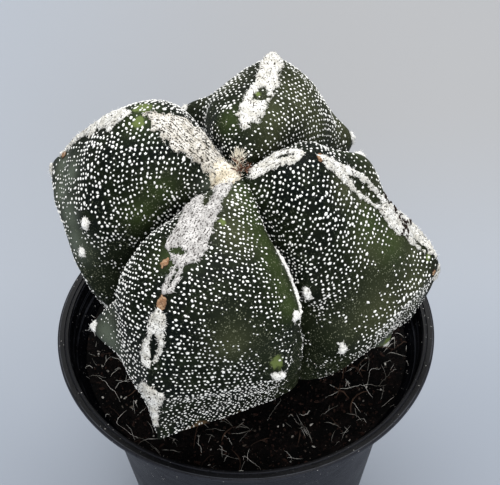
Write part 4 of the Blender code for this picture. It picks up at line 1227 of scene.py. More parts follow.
def scatter_tree(name, lumps):
    """A tree that puts lumps on points, turned and sized by the points' attributes."""
    tree, inputs = grow_tree(name, Scale=MM, Seed=1, Finish=None)
    vectors = {}
    for label in ("normal", "across", "size"):
        made = add_node(tree, "GeometryNodeInputNamedAttribute", {"Name": label}, data_type="FLOAT_VECTOR")
        vectors[label] = made.outputs["Attribute"]
    upright = add_node(tree, "FunctionNodeAlignRotationToVector", {"Vector": vectors["normal"]}, axis="Z")
    turned = add_node(tree, "FunctionNodeAlignRotationToVector",
                      {"Rotation": upright.outputs[0], "Vector": vectors["across"]}, axis="X", pivot_axis="Z")
    sized = add_node(tree, "ShaderNodeVectorMath", {0: vectors["size"], "Scale": inputs["Scale"]},
                     operation="SCALE")
    placed = put_lumps(tree, inputs["Geometry"], lumps, inputs["Seed"], turned.outputs[0],
                       sized.outputs["Vector"])
    end_tree(tree, placed, inputs["Finish"])
    return tree


def scatter(name, tree, points, normals, across, sizes, finish, seed=1):
    """Runs a scatter tree on a cloud of points."""
    source = make_piece(name + "_points", points, [])
    give_attribute(source, "normal", normals, "FLOAT_VECTOR")
    give_attribute(source, "across", across, "FLOAT_VECTOR")
    give_attribute(source, "size", sizes, "FLOAT_VECTOR")
    return run_tree(tree, source, name, Finish=finish, Seed=seed)


def fleck_material():
    material, tree, shader, place = begin_material("fleck_wool", 0.95, 0.1)
    tone = band(tree, cloud(tree, place, 0.35), 0.35, 0.62)
    colour = paint(tree, tone, (0.86, 0.86, 0.82), (0.98, 0.97, 0.94))
    tree.links.new(colour, shader.inputs["Base Color"])
    bump(tree, shader, cloud(tree, place, 0.2), 0.15, 0.6)
    return material


fleck_tree = scatter_tree("flecks_on_skin", [fleck_lump(f"fleck_lump_{seed}", seed) for seed in (1, 2, 3)])
fleck_white = fleck_material()
for rib, found in flecks.items():
    settle(scatter(f"flecks_{rib}", fleck_tree, *found, fleck_white), "white_wool")

# %% [markdown]
# ## Loose hairs on the wool
#
# Felt shows single hairs along its edge and on top. Each is a thin bent spike. The points come from the
# pads: along the edge a hair leans outwards, the way the depth inside the outline falls off, and on top it
# lies nearly flat in any direction. The tree that places flecks also places hairs, with another lump.

# %% Hairs
HAIR_THICK = 0.05
EDGE_HAIRS = 0.32
TOP_HAIRS = 0.06
HAIR_SEED = 31
# A hair's full lean, in its own radii
HAIR_LEAN = 6


def hair_lump(name):
    """A spike one unit long and about one unit in radius, bent over towards its tip."""
    rings = []
    for along_it, radius, lean in ((0.0, 1.0, 0.0), (0.5, 0.85, 0.06), (0.85, 0.5, 0.2)):
        ring = []
        for i in range(3):
            turn = math.tau * i / 3
            ring.append((radius * math.cos(turn) + HAIR_LEAN * lean, radius * math.sin(turn), along_it))
        rings.append(ring)
    return make_lump(name, rings[::-1], (HAIR_LEAN * 0.3, 0, 1.0), (0, 0, 0.0))


def hairs_of(top, rng):
    """Roots, ways and sizes of the hairs of one pad."""
    over, normals, frayed = top
    outward = np.zeros_like(over)
    for axis in (0, 1):
        travel = np.gradient(over, axis=axis)
        squared = np.linalg.norm(travel, axis=2, keepdims=True) ** 2
        outward -= travel * (np.gradient(frayed, axis=axis)[..., None] / squared)
    outward /= np.linalg.norm(outward, axis=2, keepdims=True) + 1e-9
    edge = (frayed > 0.02) & (frayed < 0.45) & (rng.uniform(size=frayed.shape) < EDGE_HAIRS)
    inner = (frayed >= 0.45) & (rng.uniform(size=frayed.shape) < TOP_HAIRS)
    some = edge | inner
    scattered = rng.normal(size=over.shape)
    way = np.where(edge[..., None], outward + 0.45 * normals, 0.35 * normals) + 0.5 * scattered
    length = np.where(edge, rng.uniform(0.5, 1.35, edge.shape), rng.uniform(0.5, 1.1, edge.shape))
    thick = HAIR_THICK * rng.uniform(0.7, 1.2, edge.shape)
    sizes = np.stack([thick, thick, length], axis=2)
    return over[some] - 0.05 * normals[some], way[some], scattered[some], sizes[some]


hair_rng = np.random.default_rng(HAIR_SEED)
hair_tree = scatter_tree("hairs_on_wool", [hair_lump("hair")])
for rib in ORDER:
    tops = [top for name, (_, top) in wool_pads.items() if WOOL[name]["rib"] == rib]
    tops += [top for (_, top), tubercle in zip(button_pads.values(), TUBERCLES) if tubercle[0] == rib]
    found = [np.vstack(parts) for parts in zip(*[hairs_of(top, hair_rng) for top in tops])]
    settle(scatter(f"hairs_{rib}", hair_tree, *found, hair_white), "white_wool")

# %% [markdown]
# ## The crown
#
# In the middle, where new growth comes from, sit a cushion of cream wool and a tuft of dried brown spines.
# The cushion is a small dome laid on the skin: rays sent straight down find the skin's height under it.
# Cream hairs on the cushion and a pale papery tuft beside the spines come from the same tree as the wool's
# hairs, with other sizes.

# %% Crown
CROWN_WOOL_PLACE = (-3.4, -0.8)
CROWN_WOOL_RADIUS = 4.1
CROWN_WOOL_HEIGHT = 1.1
CROWN_WOOL_SIDES = 48
# The cushion's rings from its top to its underside: share of the radius, share of the height
CROWN_WOOL_RINGS = [(0.15, 1.0), (0.3, 0.98), (0.45, 0.94), (0.6, 0.86), (0.75, 0.72), (0.88, 0.5),
                    (1.0, -0.2), (0.9, -0.5), (0.4, -0.5)]
# Tufts: place from the crown, radius, how many, how long, spread, thickness, lift off the skin
CROWN_SPINES = ((0.9, 0.5), 1.3, 44, 2.5, 1.1, 0.20, 0.4)
CREAM_TUFTS = {
    "crown_hairs": ((-3.2, -0.8), 4.1, 170, 1.5, 1.1, 0.085, 0.3),
    "crown_papery_tuft": ((0.2, 1.7), 1.5, 130, 2.0, 1.0, 0.085, 0.3),
}
CROWN_SEED = 41


def skin_height(x, y):
    hit = stem_tree.ray_cast(Vector((x, y, 200.0)), Vector((0, 0, -1)))[0]
    return hit.z if hit else 0.0


def crown_cushion():
    rings = []
    middle = (CROWN[0] + CROWN_WOOL_PLACE[0], CROWN[1] + CROWN_WOOL_PLACE[1])
    for share, lift in CROWN_WOOL_RINGS:
        ring = []
        for i in range(CROWN_WOOL_SIDES):
            turn = math.tau * i / CROWN_WOOL_SIDES
            rough = noise.noise(Vector((2.2 * math.cos(turn), 2.2 * math.sin(turn), 3.1)))
            radius = CROWN_WOOL_RADIUS * share * (1 + 0.28 * rough)
            x, y = middle[0] + radius * math.cos(turn), middle[1] + radius * math.sin(turn)
            fine = 0.3 * noise.noise(Vector((x, y, 1.0)) * 1.6) if lift > 0 else 0.0
            ring.append((x, y, skin_height(x, y) + CROWN_WOOL_HEIGHT * lift + fine))
        rings.append(ring)
    base = skin_height(*middle)
    points, faces = close_sleeve(np.array(rings), (*middle, base + CROWN_WOOL_HEIGHT), (*middle, base - 0.8))
    cushion = make_piece("crown_cushion", points, faces, felts["cream_felt"])
    # A depth of one keeps the painted edge shadow off the cushion
    give_attribute(cushion, "depth", np.ones(len(points)))
    give_attribute(cushion, "lay", points, "FLOAT_VECTOR")
    return cushion


def tuft_points(place, radius, count, length, spread, thickness, lift, rng):
    """Roots near the crown, ways that lean outwards, sideways turns and sizes, for hairs or spines."""
    reach = radius * np.sqrt(rng.uniform(size=count))
    turn = rng.uniform(0, math.tau, count)
    x, y = CROWN[0] + place[0] + reach * np.cos(turn), CROWN[1] + place[1] + reach * np.sin(turn)
    roots = np.array([(a, b, skin_height(a, b) + lift) for a, b in zip(x, y)])
    lean = spread * reach
    ways = np.stack([lean * np.cos(turn), lean * np.sin(turn), np.full(count, radius)], axis=1)
    ways += 0.35 * radius * rng.normal(size=ways.shape)
    long = length * rng.uniform(0.6, 1.1, count)
    sideways = rng.normal(size=ways.shape)
    thick = thickness * rng.uniform(0.6, 1.2, count)
    return roots, ways, sideways, np.stack([thick, thick, long], axis=1)


crown_rng = np.random.default_rng(CROWN_SEED)
settle(crown_cushion(), "cream_wool", "wool_crown")
dried_spines = two_tones("dried_spines", 0.7, 0.3, 0.9, (0.045, 0.018, 0.012), (0.26, 0.13, 0.08))
spines = scatter("crown_spine_tuft", hair_tree, *tuft_points(*CROWN_SPINES, crown_rng), dried_spines)
settle(spines, "dried_spine", "crown_spines")
for tuft_name, form in CREAM_TUFTS.items():
    tuft = scatter(tuft_name, hair_tree, *tuft_points(*form, crown_rng), hair_cream)
    settle(tuft, "cream_wool")

# %% [markdown]
# ## The pot
#
# A nursery pot is a body of revolution with a thin wall: a tapered body, a shoulder, a stepped collar and a
# flat flange. Geometry Nodes turn its section round: the section is a row of points, Mesh to Curve makes it
# a curve, and Curve to Mesh sweeps it along a circle. The points on the axis are then merged, and eight
# drain holes are cut in the floor. Corners of the section are rounded first, because a moulded edge always
# is, and the rounding is what catches the light.

# %% Pot section
POT_PATH = 40.0
POT_WALL = 0.9
POT_FLOOR = 1.5
FLANGE_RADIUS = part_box("pot")[1].x / MM
FLANGE_DEPTH = 1.3
LIP_RADIUS = 49.4
COLLAR_RADIUS = 49.9
COLLAR_DEPTH = 6.8
COLLAR_TAPER = 1.4
SHOULDER_RADIUS = 42.8
SHOULDER_DEPTH = 12.3
BASE_RADIUS = 31.4
POT_SIDES = 256
DRAIN_HOLES = 8
DRAIN_CIRCLE = 20.0
DRAIN_RADIUS = 3.5


def rounded(corners, pieces=4):
    """A section's corners as (radius, depth, rounding), turned into points with an arc at each."""
    made = []
    for k, (radius, depth, rounding) in enumerate(corners):
        here = Vector((radius, depth))
        if rounding == 0 or k in (0, len(corners) - 1):
            made.append(tuple(here))
            continue
        before = Vector(corners[k - 1][:2]) - here
        after = Vector(corners[k + 1][:2]) - here
        cut = min(rounding, 0.45 * before.length, 0.45 * after.length)
        first, last = here + before.normalized() * cut, here + after.normalized() * cut
        for i in range(pieces + 1):
            t = i / pieces
            made.append(tuple((1 - t) ** 2 * first + 2 * t * (1 - t) * here + t ** 2 * last))
    return made


POT_SECTION = rounded([
    (0.0, RIM - POT_FLOOR, 0),
    (BASE_RADIUS - POT_WALL, RIM - POT_FLOOR, 1.0),
    (SHOULDER_RADIUS - POT_WALL, SHOULDER_DEPTH, 0.8),
    (COLLAR_RADIUS - COLLAR_TAPER - POT_WALL, COLLAR_DEPTH, 0.6),
    (COLLAR_RADIUS - POT_WALL, FLANGE_DEPTH, 0.3),
    (LIP_RADIUS, FLANGE_DEPTH - 0.3, 0.2),
    (LIP_RADIUS, 0.0, 0.25),
    (LIP_RADIUS + 0.85, 0.0, 0.12),
    (LIP_RADIUS + 0.95, 0.35, 0.05),
    (LIP_RADIUS + 1.15, 0.35, 0.05),
    (LIP_RADIUS + 1.25, 0.0, 0.12),
    (FLANGE_RADIUS, 0.0, 0.45),
    (FLANGE_RADIUS, FLANGE_DEPTH, 0.4),
    (COLLAR_RADIUS, FLANGE_DEPTH, 0.2),
    (COLLAR_RADIUS - COLLAR_TAPER, COLLAR_DEPTH, 0.6),
    (SHOULDER_RADIUS, SHOULDER_DEPTH, 0.8),
    (BASE_RADIUS, RIM, 1.2),
    (0.0, RIM, 0),
])
print("pot section:", len(POT_SECTION), "points")

# %% Pot lathe


def lathe_tree():
    tree, inputs = grow_tree("pot_lathe", Sides=POT_SIDES, Path=POT_PATH * MM, Rim=RIM * MM,
                             Holes=DRAIN_HOLES, Hole_Circle=DRAIN_CIRCLE * MM,
                             Hole_Radius=DRAIN_RADIUS * MM, Finish=None)
    section = add_node(tree, "GeometryNodeMeshToCurve", {"Mesh": inputs["Geometry"]})
    path = add_node(tree, "GeometryNodeCurvePrimitiveCircle",
                    {"Resolution": inputs["Sides"], "Radius": inputs["Path"]})
    swept = add_node(tree, "GeometryNodeCurveToMesh",
                     {"Curve": path.outputs["Curve"], "Profile Curve": section.outputs["Curve"]})
    welded = add_node(tree, "GeometryNodeMergeByDistance",
                      {"Geometry": swept.outputs["Mesh"], "Distance": 1e-6})
    lift = add_node(tree, "ShaderNodeCombineXYZ", {"Z": inputs["Rim"]})
    raised = add_node(tree, "GeometryNodeTransform",
                      {"Geometry": welded.outputs["Geometry"], "Translation": lift.outputs["Vector"]})
    ring = add_node(tree, "GeometryNodeMeshCircle",
                    {"Vertices": inputs["Holes"], "Radius": inputs["Hole_Circle"]})
    turned = add_node(tree, "GeometryNodeTransform",
                      {"Geometry": ring.outputs["Mesh"], "Rotation": (0, 0, math.pi / DRAIN_HOLES)})
    drill = add_node(tree, "GeometryNodeMeshCylinder",
                     {"Vertices": 32, "Radius": inputs["Hole_Radius"], "Depth": 4 * POT_FLOOR * MM})
    drills = add_node(tree, "GeometryNodeInstanceOnPoints",
                      {"Points": turned.outputs["Geometry"], "Instance": drill.outputs["Mesh"]})
    real = add_node(tree, "GeometryNodeRealizeInstances", {"Geometry": drills.outputs["Instances"]})
    cut = add_node(tree, "GeometryNodeMeshBoolean", {"Mesh 1": raised.outputs["Geometry"]},
                   operation="DIFFERENCE")
    tree.links.new(real.outputs["Geometry"], cut.inputs["Mesh 2"])
    end_tree(tree, cut.outputs["Mesh"], inputs["Finish"])
    return tree


def plastic_material():
    """Black plastic gone grey with dust: pale specks, soft smears and fine pits. Outward faces are lighter,
    partly dust and partly painted light; pale concentric lines are painted highlights, and inward faces get a
    weaker shine, which keeps the shaded inside dark.
    """
    material, tree, shader, place = begin_material("dusty_black_plastic", 0.42, 0.16)
    split = add_node(tree, "ShaderNodeSeparateXYZ", {"Vector": place})
    level = add_node(tree, "ShaderNodeCombineXYZ", {"X": split.outputs["X"], "Y": split.outputs["Y"]})
    facing = add_node(tree, "ShaderNodeNewGeometry").outputs["Normal"]
    apart = add_node(tree, "ShaderNodeVectorMath", {0: facing, 1: level.outputs["Vector"]},
                     operation="DOT_PRODUCT")
    outer = band(tree, apart.outputs["Value"], 5.0, 40.0)
    inner = band(tree, apart.outputs["Value"], -4.0, -30.0)
    smears = cloud(tree, place, 9.0, 5.0)
    colour = paint(tree, band(tree, smears, 0.40, 0.72), (0.0004, 0.0005, 0.0011), (0.0032, 0.0034, 0.0046))
    # Outward faces lighter grey: partly dust, partly painted light on the outside of the pot
    colour = paint(tree, combine(tree, "MULTIPLY", outer, 0.7), colour, (0.0220, 0.0232, 0.0310))
    radius = add_node(tree, "ShaderNodeVectorMath", {0: level.outputs["Vector"]}, operation="LENGTH")
    lines = add_node(tree, "ShaderNodeCombineXYZ", {"X": radius.outputs["Value"], "Y": split.outputs["Z"]})
    turned = cloud(tree, lines.outputs["Vector"], 0.55, 1.0)
    # Pale concentric lines along the rings: painted highlights
    pale_marks = combine(tree, "MULTIPLY", band(tree, turned, 0.56, 0.66), band(tree, smears, 0.30, 0.60))
    colour = paint(tree, combine(tree, "MULTIPLY", pale_marks, 0.6), colour, (0.0680, 0.0720, 0.0860))
    grain = cloud(tree, place, 0.5, 2.0)
    colour = paint(tree, band(tree, grain, 0.62, 0.80), colour, (0.0360, 0.0360, 0.0400))
    colour = paint(tree, band(tree, grain, 0.40, 0.30), colour, (0.0002, 0.0002, 0.0005))
    speck = band(tree, cells(tree, place, 1.1), 0.15, 0.07)
    chosen = band(tree, cloud(tree, place, 3.0), 0.50, 0.62)
    colour = paint(tree, combine(tree, "MULTIPLY", speck, chosen), colour, (0.70, 0.68, 0.65))
    tree.links.new(colour, shader.inputs["Base Color"])
    # Inward faces get a weaker shine, so the shaded inside of the pot stays dark
    shine = add_node(tree, "ShaderNodeMapRange", {"Value": inner, "To Min": 0.15, "To Max": 0.02})
    tree.links.new(shine.outputs["Result"], shader.inputs["Specular IOR Level"])
    dull = add_node(tree, "ShaderNodeMapRange", {"Value": smears, "To Min": 0.30, "To Max": 0.60})
    tree.links.new(dull.outputs["Result"], shader.inputs["Roughness"])
    relief = combine(tree, "ADD", combine(tree, "MULTIPLY", turned, 0.8), grain)
    bump(tree, shader, relief, 0.15, 0.7)
    return material


section_points = [(radius - POT_PATH, depth, 0.0) for radius, depth in POT_SECTION]
section_mesh = bpy.data.meshes.new("pot_section")
section_mesh.from_pydata([tuple(MM * value for value in point) for point in section_points],
                         [(i, i + 1) for i in range(len(section_points) - 1)], [])
section = put_in_scene("pot_section", section_mesh)
pot = run_tree(lathe_tree(), section, "pot_shell", Finish=plastic_material())
pot.data.shade_smooth()
pot.data.set_sharp_from_angle(angle=math.radians(35))
settle(pot, "black_plastic", "pot")

# %% [markdown]
# ## The soil
#
# Peat is nearly black, with reddish and tan crumbs, fibres and old roots. Its surface is a fine sleeve of
# points between the plant's foot and the pot's wall, raised by noise of several sizes. Geometry Nodes then
# scatter crumbs over it.

# %% Soil surface
SOIL_DEPTH = 8.8
SOIL_RINGS = 84
SOIL_SIDES = 380
# The soil's lower edge turns in between these two depths
SOIL_FOOT = RIM - POT_FLOOR - 1.5
SOIL_FLOOR = RIM - POT_FLOOR - 0.3
FOOT_RADIUS = 15.4
FOOT_DEPTH = 18.4


def pot_inside(depth):
    """Inner radius of the pot at a depth below the rim."""
    stops = [0.0, FLANGE_DEPTH, COLLAR_DEPTH, SHOULDER_DEPTH, RIM - POT_FLOOR]
    radii = [LIP_RADIUS, COLLAR_RADIUS - POT_WALL, COLLAR_RADIUS - COLLAR_TAPER - POT_WALL,
             SHOULDER_RADIUS - POT_WALL, BASE_RADIUS - POT_WALL]
    return float(np.interp(depth, stops, radii))


def soil_height(x, y):
    """The height of the soil's top: lumps of four sizes, flatter and a little lower beside the plant."""
    coarse = noise.noise(Vector((x / 6.4, y / 6.4, 1.7)))
    medium = noise.noise(Vector((x / 3.2, y / 3.2, 5.2)))
    fine = noise.noise(Vector((x / 1.3, y / 1.3, 8.2)))
    finest = noise.noise(Vector((x / 0.7, y / 0.7, 2.9)))
    away = math.hypot(x - CROWN[0], y - CROWN[1])
    free = min(1.0, max(0.0, (away - 17.0) / 10.0))
    lumps = 0.96 * coarse + 0.8 * medium + 0.8 * abs(fine) + 0.45 * finest
    return -SOIL_DEPTH - 1.1 * (1.0 - free) + lumps * (0.25 + 0.75 * free)


def unit_circle(sides):
    turns = np.arange(sides) * math.tau / sides
    return np.stack([np.cos(turns), np.sin(turns)], axis=1)


def soil_rings(hole, edge, count):
    """Rings of points on the soil's top, from one ring of places to another."""
    rings = []
    for k in range(count):
        flat = hole + (edge - hole) * k / (count - 1)
        rings.append(np.array([(x, y, soil_height(x, y)) for x, y in flat]))
    return rings


def build_soil():
    circle = unit_circle(SOIL_SIDES)
    hole = np.array(CROWN) + FOOT_RADIUS * circle
    edge = (pot_inside(SOIL_DEPTH) - 0.25) * circle
    rings = [np.column_stack([hole, np.full(SOIL_SIDES, -FOOT_DEPTH)]), *soil_rings(hole, edge, SOIL_RINGS)]
    for depth, gap in ((SHOULDER_DEPTH, 0.3), (SOIL_FOOT, 0.3), (SOIL_FLOOR, 1.4)):
        radius = pot_inside(depth) - gap
        rings.append(np.column_stack([radius * circle, np.full(SOIL_SIDES, -depth)]))
    points, faces = close_sleeve(np.array(rings), (*CROWN, -FOOT_DEPTH), (0, 0, -SOIL_FLOOR))
    return make_piece("peat", points, faces)


def peat_material():
    material, tree, shader, place = begin_material("peat", 0.85, 0.10)
    colour = paint(tree, band(tree, cloud(tree, place, 3.5, 5.0), 0.45, 0.72), (0.0008, 0.0007, 0.0008),
                   (0.0070, 0.0045, 0.0040))
    colour = paint(tree, band(tree, cloud(tree, place, 1.1, 4.0), 0.62, 0.74), colour, (0.040, 0.022, 0.017))
    colour = paint(tree, band(tree, cells(tree, place, 1.3), 0.13, 0.06), colour, (0.150, 0.125, 0.105))
    tree.links.new(colour, shader.inputs["Base Color"])
    bump(tree, shader, cloud(tree, place, 0.5, 5.0), 0.6, 1.0)
    return material


peat = build_soil()
peat.data.materials.append(peat_material())
settle(peat, "peat_soil", "soil")

# %% [markdown]
# Crumbs are scattered by the tree itself: Distribute Points on Faces keeps them a set distance apart, and
# each gets a random size, a random turn, and a stored shade that the material turns into a colour.

# %% Crumbs
CRUMB_SEED = 51
CRUMB_SIDES = 5
BED_SIDES = 120
BED_RINGS = 24
# Points per square metre before those nearer than the set distance are dropped
CRUMB_DENSITY = 3000000.0


def crumb_lump(name, seed):
    """A longish crumb one unit in radius with two uneven rings, the lower one turned by half a side."""
    rings = []
    rng = random.Random(seed)
    for share, height in ((0.9, 0.35), (1.0, -0.30)):
        ring = []
        for i in range(CRUMB_SIDES):
            turn = math.tau * (i + 0.5 * len(rings)) / CRUMB_SIDES
            radius = share * rng.uniform(0.55, 1.25)
            level = height * rng.uniform(0.5, 1.3)
            ring.append((1.5 * radius * math.cos(turn), 0.8 * radius * math.sin(turn), level))
        rings.append(ring)
    return make_lump(name, rings, (0.2, 0, 0.6), (-0.1, 0, -0.55))


def crumb_tree(lumps):
    tree, inputs = grow_tree("crumbs_on_soil", Apart=2.1 * MM, Smallest=0.3 * MM, Largest=1.1 * MM, Seed=1,
                             Finish=None)
    spread = add_node(tree, "GeometryNodeDistributePointsOnFaces",
                      {"Mesh": inputs["Geometry"], "Distance Min": inputs["Apart"],
                       "Density Max": CRUMB_DENSITY, "Seed": inputs["Seed"]}, distribute_method="POISSON")
    shade = add_node(tree, "FunctionNodeRandomValue", {"Seed": inputs["Seed"]}, data_type="FLOAT")
    toned = add_node(tree, "GeometryNodeStoreNamedAttribute",
                     {"Geometry": spread.outputs["Points"], "Name": "shade", "Value": shade.outputs[1]},
                     data_type="FLOAT", domain="POINT")
    size = add_node(tree, "FunctionNodeRandomValue", {"Seed": inputs["Seed"]}, data_type="FLOAT")
    tree.links.new(inputs["Smallest"], size.inputs[2])
    tree.links.new(inputs["Largest"], size.inputs[3])
    turn = add_node(tree, "FunctionNodeRandomValue", {"Seed": inputs["Seed"]}, data_type="FLOAT_VECTOR")
    turn.inputs[0].default_value = (0, 0, 0)
    turn.inputs[1].default_value = (math.tau, math.tau, math.tau)
    placed = put_lumps(tree, toned.outputs["Geometry"], lumps, inputs["Seed"], turn.outputs[0],
                       size.outputs[1])
    end_tree(tree, placed, inputs["Finish"])
    return tree


def crumb_bed():
    """A plain ring of faces at the soil's height, only to scatter crumbs on."""
    circle = unit_circle(BED_SIDES)
    hole = np.array(CROWN) + (FOOT_RADIUS + 3) * circle
    edge = (pot_inside(SOIL_DEPTH) - 1.4) * circle
    rings = np.array(soil_rings(hole, edge, BED_RINGS))
    return make_piece("crumb_bed", rings, wrap_faces(*rings.shape[:2]))


def crumb_material(name, tan_from, pale_from):
    """Peat crumbs. Those whose stored shade is above the two limits are tan and pale."""
    material, tree, shader, place = begin_material(name, 0.8, 0.10)
    shade = stored(tree, "shade")
    colour = paint(tree, band(tree, shade, 0.30, 0.70), (0.0010, 0.0009, 0.0010), (0.0080, 0.0050, 0.0044))
    colour = paint(tree, band(tree, shade, 0.72, 0.84), colour, (0.034, 0.018, 0.014))
    colour = paint(tree, band(tree, shade, tan_from, tan_from + 0.04), colour, (0.140, 0.115, 0.095))
    colour = paint(tree, band(tree, shade, pale_from, pale_from + 0.02), colour, (0.700, 0.670, 0.620))
    rough = cloud(tree, place, 0.45)
    colour = paint(tree, band(tree, rough, 0.5, 0.3), colour, (0.004, 0.003, 0.003))
    tree.links.new(colour, shader.inputs["Base Color"])
    bump(tree, shader, rough, 0.3, 0.8)
    return material


# Limits of the stored shade for tan and for pale, then distance apart, smallest and largest in millimetres
CRUMBS = {
    "coarse": (1.0, 1.0, 2.6, 0.3, 0.68),
    "fine": (0.92, 0.955, 0.95, 0.12, 0.42),
}
crumbs = crumb_tree([crumb_lump(f"crumb_{seed}", seed) for seed in (1, 2, 3, 4)])
for number, (kind, (tan_from, pale_from, apart, smallest, largest)) in enumerate(CRUMBS.items()):
    finish = crumb_material(f"{kind}_crumbs", tan_from, pale_from)
    bed = run_tree(crumbs, crumb_bed(), f"peat_crumbs_{kind}", Finish=finish, Seed=CRUMB_SEED + number,
                   Apart=apart * MM, Smallest=smallest * MM, Largest=largest * MM)
    settle(bed, "peat_soil")

# %% [markdown]
# ## Dark grains on the right rib's wool
#
# A trail of dark dried grains is caught in the wool of the right rib. Each grain lies near a place along the
# trail, on the wool's top where there is wool and on the skin elsewhere.

# %% Dark grains
GRAIN_SEED = 83
GRAINS_A_PLACE = 7
# A grain nearer than this to the wool's top lies on it
GRAIN_REACH = 1.3
# Places along the trail: step, and width in millimetres from the crest on its far side
GRAIN_TRAIL = [(4.36, 4.6), (4.48, 4.4), (4.58, 3.8), (4.66, 3.0), (4.74, 2.2), (4.84, 2.8), (4.93, 4.2),
               (5.02, 6.0), (4.80, 0.9), (4.84, -0.3)]


def grain_places(rng):
    """Points, normals and directions for the grains, and a size for each."""
    over, lie, frayed = wool_pads["wool_right_outer"][1]
    tops, leans = over[frayed > 0], lie[frayed > 0]
    points, normals = [], []
    for step, width in GRAIN_TRAIL:
        for _ in range(GRAINS_A_PLACE):
            place = (np.array([step + rng.normal(0, 0.035)]), np.array([width + rng.normal(0, 0.65)]))
            point, normal = (row[0, 0] for row in crest_skin("right", *place))
            gaps = np.linalg.norm(tops - point, axis=1)
            nearest = int(gaps.argmin())
            if gaps[nearest] < GRAIN_REACH:
                point, normal = tops[nearest], leans[nearest]
            points.append(point + 0.2 * normal)
            normals.append(normal)
    sizes = 0.26 + 0.46 * rng.uniform(size=(len(points), 1)) ** 2
    return np.array(points), np.array(normals), rng.normal(size=(len(points), 3)), sizes * [1.0, 1.0, 0.9]


grain_tree = scatter_tree("grains_on_wool", [crumb_lump(f"grain_{seed}", seed) for seed in (11, 12, 13)])
grain_parts = grain_places(np.random.default_rng(GRAIN_SEED))
settle(scatter("wool_grains", grain_tree, *grain_parts, dark_crust), "dried_spine")

# %% [markdown]
# ## Fibres and roots
#
# Peat is full of pale fibres, and some old roots lie on top. Each is a curve with a few points: it wanders
# as it goes, rises a little off the soil and tapers at its ends. Curve to Mesh gives them all their
# thickness at once.

# %% Fibres
FIBRE_SEED = 61
LAID_SHARE = 0.34
PALE_COUNT = 230
BROWN_COUNT = 46
# Fibres start inside the first radius from the pot's middle, and stop where they pass the second
FIBRE_START = 45.5
FIBRE_END = 46.3
# Nothing starts nearer than this to the plant's middle
PLANT_CLEAR = 22
# Fibres that lie in the open: places (x, y) on the soil, and a radius
LAID_FIBRES = [
    ([(22.6, -15.0), (25.8, -16.9), (29.7, -16.3), (33.1, -15.4), (36.1, -16.2), (38.3, -16.3)], 0.16),
    ([(33.1, -15.4), (33.8, -12.9), (34.6, -10.4), (37.4, -10.2)], 0.13),
    ([(36.3, -16.2), (38.5, -13.8), (41.6, -10.3)], 0.14),
    ([(38.8, -23.3), (40.4, -22.7), (42.5, -21.0)], 0.16),
    ([(19.8, -25.7), (21.5, -24.8), (24.6, -22.1)], 0.12),
    ([(14.0, -27.9), (15.7, -31.0), (16.9, -34.7)], 0.17),
    ([(24.5, -32.6), (25.6, -32.3), (27.0, -31.1)], 0.12),
    ([(-7.4, -24.8), (-5.7, -26.6), (-3.9, -29.3)], 0.22),
    ([(5.1, -26.6), (7.1, -23.2), (9.2, -19.1)], 0.09),
    ([(12.4, -26.2), (14.2, -29.3), (15.9, -32.4), (17.1, -35.4)], 0.13),
    ([(14.1, -24.5), (15.5, -25.2), (16.9, -23.9)], 0.30),
    ([(-1.9, -38.7), (-0.6, -39.7), (0.7, -41.4), (3.0, -43.7)], 0.17),
    ([(-13.9, -34.3), (-12.8, -36.0), (-12.8, -37.7)], 0.17),
    ([(-8.5, -36.8), (-5.9, -36.9)], 0.12),
    ([(-7.2, -35.2), (-7.2, -38.5)], 0.13),
    ([(-6.6, -31.9), (-5.3, -33.3), (-4.5, -35.0)], 0.13),
    ([(-26.4, -34.6), (-24.8, -36.0), (-23.2, -37.7)], 0.13),
    ([(-41.8, -9.6), (-39.7, -12.2), (-37.7, -15.1), (-36.2, -16.9), (-35.0, -19.0)], 0.13),
    ([(-43.6, -3.0), (-42.9, -4.8), (-42.0, -6.3)], 0.09),
    ([(-35.9, -25.9), (-32.7, -29.7), (-30.2, -31.8), (-27.8, -33.2), (-23.7, -36.3)], 0.12),
    ([(-33.1, -27.0), (-31.7, -29.4), (-30.5, -32.5)], 0.10),
]
# A curl of root that lies against the wall in front, as (x, y, depth below the rim)
WALL_CURL = [(-3.5, -48.3, 2.8), (-3.0, -47.8, 2.6), (-2.2, -47.5, 2.5), (-1.4, -47.8, 2.6),
             (-0.9, -48.3, 2.8)]
WALL_CURL_RADIUS = 0.13


def fibre_tree():
    tree, inputs = grow_tree("fibre_thickness", Thickness=MM, Finish=None)
    radius = add_node(tree, "GeometryNodeInputRadius")
    ring = add_node(tree, "GeometryNodeCurvePrimitiveCircle",
                    {"Resolution": 5, "Radius": inputs["Thickness"]})
    made = add_node(tree, "GeometryNodeCurveToMesh",
                    {"Curve": inputs["Geometry"], "Profile Curve": ring.outputs["Curve"],
                     "Scale": radius.outputs["Radius"], "Fill Caps": True})
    end_tree(tree, made.outputs["Mesh"], inputs["Finish"])
    return tree


def fibre_curves(name, routes):
    """A curve object with one straight-jointed spline for each route of (x, y, z, radius) in millimetres."""
    data = bpy.data.curves.new(name, "CURVE")
    data.dimensions = "3D"
    for route in routes:
        spline = data.splines.new("POLY")
        spline.points.add(len(route) - 1)
        for point, (x, y, z, radius) in zip(spline.points, route):
            point.co = (x * MM, y * MM, (z + RIM) * MM, 1.0)
            point.radius = radius
    return put_in_scene(name, data)


